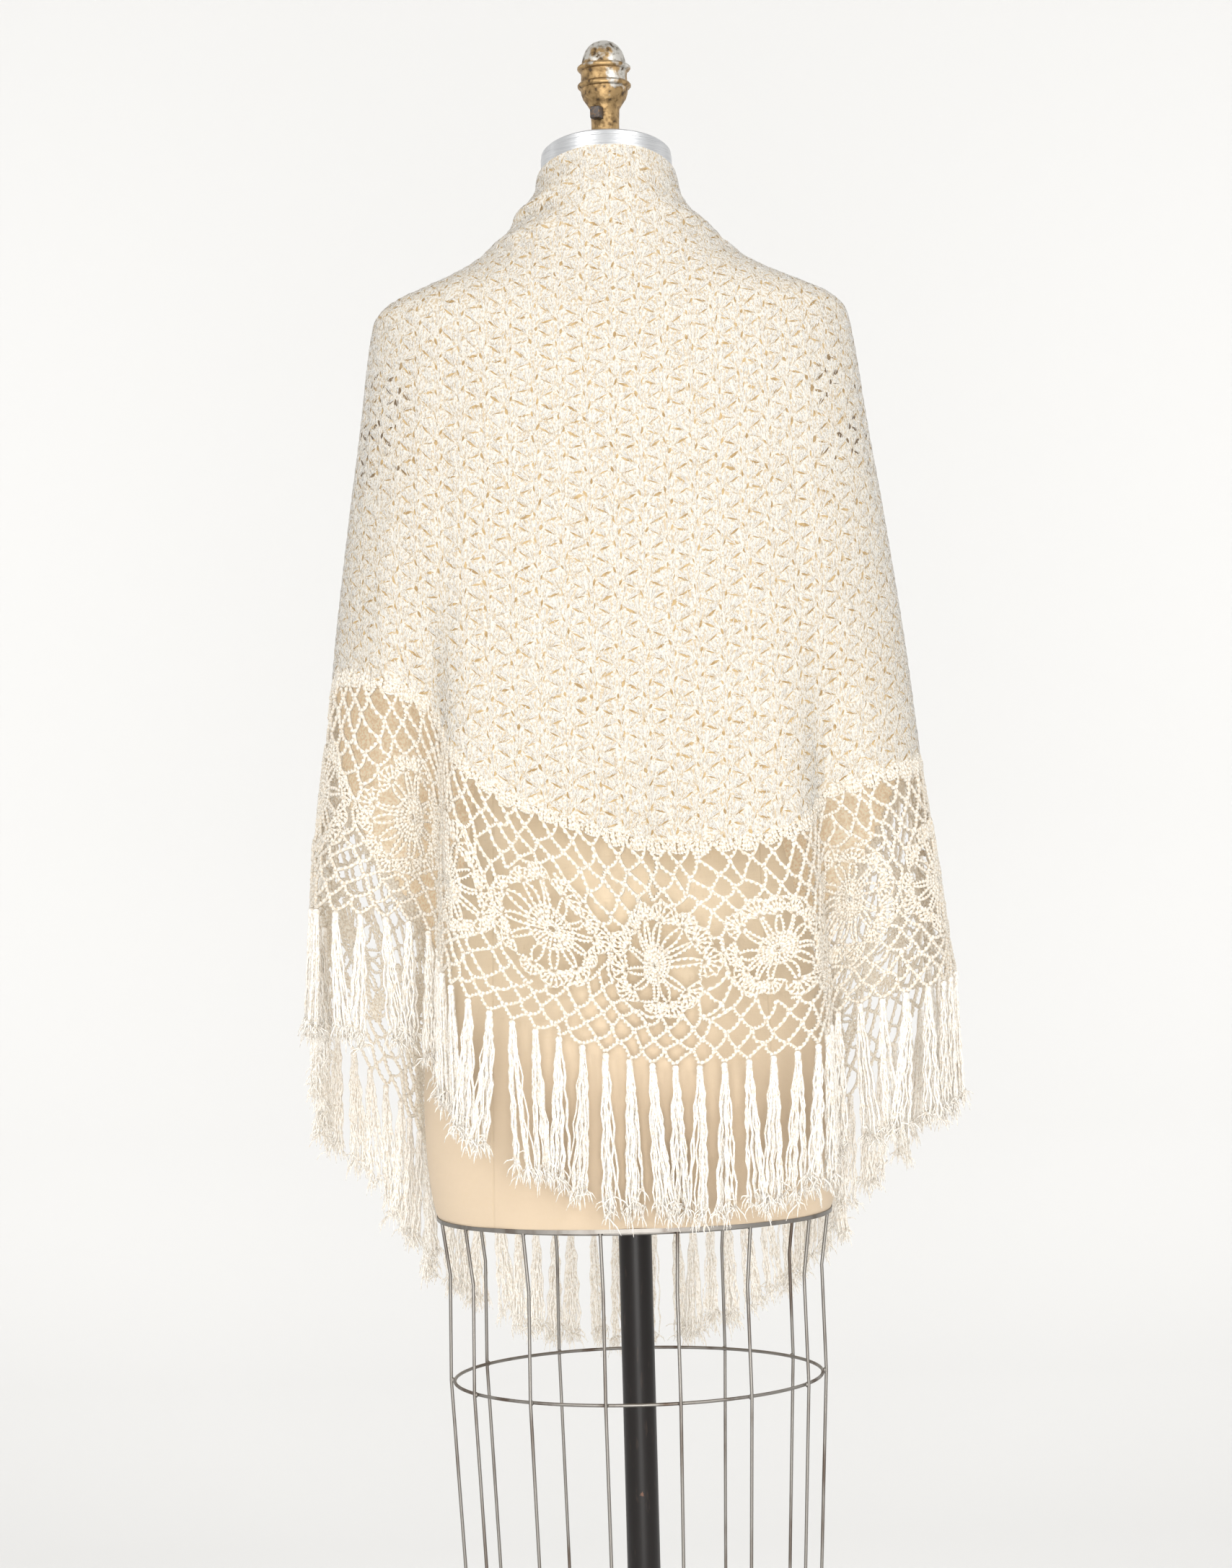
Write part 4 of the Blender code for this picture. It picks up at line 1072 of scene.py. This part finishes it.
# The lace is painted darker at the narrow rings between its links: painted shade. It also has a painted glow, dim at
# the back and brighter on the front layers, which stands in for light that comes through the open work.
lace = Finish("lace_cotton", (0.66, 0.63, 0.57), 0.68, sheen_weight=0.1, emission_strength=0.20)
ply = lace.noise(560, 2)
lace_colour = lace.mix((0.690, 0.655, 0.590), (0.50, 0.39, 0.25), lace.marked("painted_shade").between(0.2, 1.0) * 0.50)
lace.colour(lace.mix(lace_colour, (0.46, 0.35, 0.22), (1 - ply.between(0.36, 0.46)) * 0.6))
lace.feed(lace.shader.inputs["Emission Color"], lace.mix((0.36, 0.32, 0.26), (1.0, 0.92, 0.78), lace.axis("Y").between(-0.01, 0.07)))
lace.relief(ply, 0.0009)
net_starts, net_ends = net_loops()
halves = (("left", 0, WHEELS // 2), ("right", WHEELS // 2, WHEELS))
for side, first, last in halves:
    there = (net_starts + net_ends)[:, 0] / 2 < border.parting
    if side == "right":
        there = ~there
    bulge = 0.0011 * np.sign((net_ends - net_starts)[there, 0])
    parts = [strands(net_starts[there], net_ends[there], swell=bulge)]
    for run in border.wheels[first:last]:
        parts += wheel_parts(np.array([run, border.deep / 2]))
    piece = joined(f"lace_{side}", parts)
    settle(piece, lace, "crochet", f"lace_border_{side}", smooth_below=180)

pitch = border.repeat / NET_COLUMNS
scallops = border.run[0] + np.arange(1, WHEELS * NET_COLUMNS) * pitch + rng.normal(0, 0.0007, WHEELS * NET_COLUMNS - 1)
fan = np.linspace(-1, 1, SCALLOP_POSTS)
deep = SCALLOP_DEEP * rng.normal(1, 0.15, (len(scallops), 1)) * (1 - 1.15 * np.abs(fan) ** 2.6)
feet_runs = scallops[:, None] + fan * pitch * 0.30
head_runs = scallops[:, None] + fan * pitch * 0.52
feet_drops = SCALLOP_FOOT + rng.uniform(-0.004, 0.003, feet_runs.shape)
feet = np.stack([feet_runs, feet_drops], axis=-1).reshape(-1, 2)
heads = np.stack([head_runs, deep], axis=-1).reshape(-1, 2)
edging = joined("ground_scallops", [strands(feet, heads, SCALLOP_RADIUS, 0.0007, lift=0.0006, sunk=0.0017)])
settle(edging, lace, "crochet", smooth_below=180)

# The fringe is of rayon silk, whiter than the cotton: ninety tassels, each of folded crimped yarns drawn through
# the hem and knotted, and frayed at their ends. Each tassel hangs a little differently.

TASSELS_A_WHEEL = 5
YARNS = 16
YARN_STEPS = 12
YARN_RADIUS = 0.00106
FRAYS = 3
FRAY_LENGTH = 0.011
CRIMP = 0.0011
CRIMPS = 24
KNOT_HEIGHT = 0.0075

# The silk has a painted glow, dim at the back and brighter on the front layers, which lightens its shaded parts:
# painted light.
silk = Finish("fringe_silk", (0.76, 0.73, 0.68), 0.55, sheen_weight=0.15, sheen_roughness=0.3, emission_strength=0.16)
fibre = silk.noise(560, 2, (1, 1, 0.7))
silk.colour(silk.mix((0.800, 0.772, 0.722), (0.54, 0.45, 0.33), (1 - fibre.between(0.38, 0.50)) * 0.6))
silk.feed(silk.shader.inputs["Emission Color"], silk.mix((0.55, 0.51, 0.45), (1.0, 0.94, 0.84), silk.axis("Y").between(-0.03, 0.05)))
silk.relief(fibre, 0.0016)


# The form under the cloth, a row for each section as in SECTIONS.
FORM_SECTIONS = (
    (1.330, 0.1620, 0.1010, 0.1180, 2.3),
    (1.267, 0.1500, 0.1030, 0.1250, 2.2),
    (1.200, 0.1400, 0.0980, 0.1180, 2.2),
    (1.120, 0.1265, 0.0900, 0.1030, 2.2),
    (1.060, 0.1225, 0.0885, 0.0970, 2.2),
    (1.000, 0.1300, 0.0950, 0.1000, 2.2),
    (0.930, 0.1500, 0.1070, 0.1060, 2.25),
    (0.870, 0.1660, 0.1160, 0.1100, 2.3),
    (0.800, 0.1746, 0.1200, 0.1120, 2.35),
    (0.730, 0.1715, 0.1180, 0.1110, 2.4),
    (0.699, 0.1660, 0.1140, 0.1080, 2.4),
    (0.694, 0.1630, 0.1110, 0.1050, 2.4),
)


def clear_of_form(points):
    """The same points, moved level and outwards where they would touch the form."""
    sizes = read_rows(FORM_SECTIONS, points[..., 2].ravel()).reshape(*points.shape[:-1], 4)
    deep = np.where(points[..., 1] <= 0, sizes[..., 1], sizes[..., 2])
    radius = np.linalg.norm(points[..., :2], axis=-1)
    way = np.abs(points[..., :2]) / radius[..., None]
    power = sizes[..., 3]
    reach = ((way[..., 0] / sizes[..., 0]) ** power + (way[..., 1] / deep) ** power) ** (-1 / power)
    moved = points.copy()
    moved[..., :2] *= (np.maximum(radius, reach + 0.0022) / radius)[..., None]
    return moved


def fringe_parts(first, last):
    """The yarns, knots and frayed ends of the tassels of the wheels from first up to last."""
    pitch = border.repeat / TASSELS_A_WHEEL
    count = (last - first) * TASSELS_A_WHEEL
    runs = border.run[0] + first * border.repeat + (np.arange(count) + 0.5) * pitch
    shares = np.interp(runs, border.run, border.shares)
    lengths = read_rows(EDGES, shares)[:, 3] * rng.normal(1.0, 0.025, count)
    roots, normals = border.at(runs, np.full(count, border.deep + 0.003))
    out = unit(normals * (1, 1, 0))
    along = np.stack([-out[:, 1], out[:, 0], np.zeros(count)], axis=1)
    lean = along * rng.normal(0, 0.0060, (count, 1)) + out * rng.normal(0.0015, 0.0022, (count, 1))
    f = np.linspace(0, 1, YARN_STEPS)
    angle = rng.uniform(0, 2 * math.pi, (count, YARNS))
    far = np.sqrt(rng.uniform(0.02, 1, (count, YARNS)))
    spread_wide = np.interp(f, (0, 0.08, 0.3, 1), (0.0016, 0.0022, 0.0046, 0.0092))
    spread_deep = np.interp(f, (0, 0.08, 0.3, 1), (0.0012, 0.0018, 0.0030, 0.0046))
    reach = f[None, None, :] * (lengths[:, None] * rng.normal(0.95, 0.035, (count, YARNS)))[..., None]
    phase = rng.uniform(0, 2 * math.pi, (count, YARNS, 1))
    wave = CRIMP * np.sin(phase + f * CRIMPS) * np.minimum(f * 6, 1)
    wide = np.cos(angle)[..., None] * far[..., None] * spread_wide + wave
    deep = np.sin(angle)[..., None] * far[..., None] * spread_deep + wave * 0.6
    centres = roots[:, None, None] + lean[:, None, None] * (f**1.5)[:, None]
    centres = centres + along[:, None, None] * wide[..., None] + out[:, None, None] * deep[..., None]
    centres = centres - np.array([0, 0, 1.0]) * reach[..., None]
    centres = clear_of_form(centres.reshape(-1, YARN_STEPS, 3))
    ups = np.repeat(out, YARNS, axis=0)[:, None]
    radii = YARN_RADIUS * rng.normal(1, 0.1, (len(centres), 1)) * np.interp(f, (0, 0.9, 1), (1, 1, 0.6))[None]
    parts = [tubes(centres, ups, radii, 4)]
    tips = np.repeat(centres[:, -1], FRAYS, axis=0)
    flare = rng.normal(0, 0.0040, (len(tips), 3)) * (1, 1, 0.7)
    g = np.linspace(0, 1, 3)[None, :, None]
    fall = np.array([0, 0, -1.0]) * FRAY_LENGTH * rng.uniform(0.5, 1.1, (len(tips), 1))
    frays = tips[:, None] + np.array([0, 0, 0.002]) + (flare + fall)[:, None] * g + flare[:, None] * g * (1 - g)
    fray_radii = np.broadcast_to(0.00058 * np.array([1.3, 1.0, 0.4]), frays.shape[:2])
    parts.append(tubes(clear_of_form(frays), np.repeat(ups, FRAYS, axis=0), fray_radii, 4))
    knot_steps = np.linspace(0, 1, 6)
    knots = roots[:, None] + np.array([0, 0, 0.002]) - np.array([0, 0, 1.0]) * (knot_steps * KNOT_HEIGHT)[:, None]
    knot_radii = np.broadcast_to(0.0029 * np.array([0.6, 0.95, 1.0, 0.8, 0.95, 0.75]), knots.shape[:2])
    parts.append(tubes(knots, out[:, None], knot_radii, 8))
    return parts


for side, first, last in halves:
    piece = joined(f"tassels_{side}", fringe_parts(first, last))
    settle(piece, silk, "fringe", f"fringe_{side}", smooth_below=180)

# The room: a plain pale floor that turns up into a wall, wide soft lights, and the camera at the photo's angle.

SCALE = 0.0006
CAMERA_AWAY = 2.4
CAMERA_HEIGHT = 1.05
CAMERA_ASIDE = -0.0058
FOCAL_PIXELS = 4000
PHOTO_HEIGHT = 2174
CAMERA_ROLL = math.radians(1.54)
SWEEP = ((-4.0, 0.0), (1.6, 0.0), (2.2, 0.10), (2.55, 0.45), (2.7, 1.0), (2.75, 4.5))

paper = Finish("room_paper", (0.75, 0.75, 0.745), 0.95)
profile = np.array(SWEEP)
room_points = np.array([(side * 5.0, y, z) for y, z in SWEEP for side in (-1, 1)])
room_faces = np.array([(2 * i, 2 * i + 1, 2 * i + 3, 2 * i + 2) for i in range(len(SWEEP) - 1)])
room = mesh_of("room_floor", room_points, room_faces)
room.data.materials.append(paper.material)
bpy.context.view_layer.objects.active = room
bpy.ops.object.select_all(action="DESELECT")
room.select_set(True)
bpy.ops.object.shade_smooth()


def soft_light(name, place, aim, size, power):
    lamp = bpy.data.lights.new(name, "AREA")
    lamp.shape = "SQUARE"
    lamp.size = size
    lamp.energy = power
    lamp.color = (1.0, 0.99, 0.975)
    light = bpy.data.objects.new(name, lamp)
    bpy.context.scene.collection.objects.link(light)
    way = np.array(aim) - np.array(place)
    light.location = place
    light.visible_camera = False
    light.rotation_euler = (
        math.atan2(math.hypot(way[0], way[1]), -way[2]),
        0,
        math.atan2(way[1], way[0]) - math.pi / 2,
    )


soft_light("front", (0.0, -3.3, 1.15), (0, 0, 1.1), 1.8, 43)
soft_light("key_left", (-2.1, -2.7, 3.0), (0, 0, 1.2), 1.4, 36)
soft_light("key_right", (2.1, -2.7, 3.0), (0, 0, 1.2), 1.4, 42)
soft_light("low_fill", (0.0, -2.4, 0.12), (0, 0, 0.95), 1.2, 22)
soft_light("backdrop_left", (-1.9, 0.7, 1.6), (0.1, 2.75, 1.3), 1.0, 7.5)
soft_light("backdrop_right", (1.9, 0.7, 1.6), (-0.1, 2.75, 1.3), 1.0, 7.5)
sky = bpy.data.worlds.new("room_light")
sky.use_nodes = True
sky.node_tree.nodes["Background"].inputs["Color"].default_value = (1.0, 0.99, 0.975, 1.0)
sky.node_tree.nodes["Background"].inputs["Strength"].default_value = 0.80
bpy.context.scene.world = sky
bpy.context.scene.view_settings.view_transform = "Standard"

lens = bpy.data.cameras.new("photo_camera")
lens.sensor_width = 36.0
lens.lens = lens.sensor_width * FOCAL_PIXELS / PHOTO_HEIGHT
camera = bpy.data.objects.new("photo_camera", lens)
camera.location = (CAMERA_ASIDE, -CAMERA_AWAY, CAMERA_HEIGHT)
camera.rotation_euler = (math.pi / 2, CAMERA_ROLL, 0)
bpy.context.scene.collection.objects.link(camera)
bpy.context.scene.camera = camera
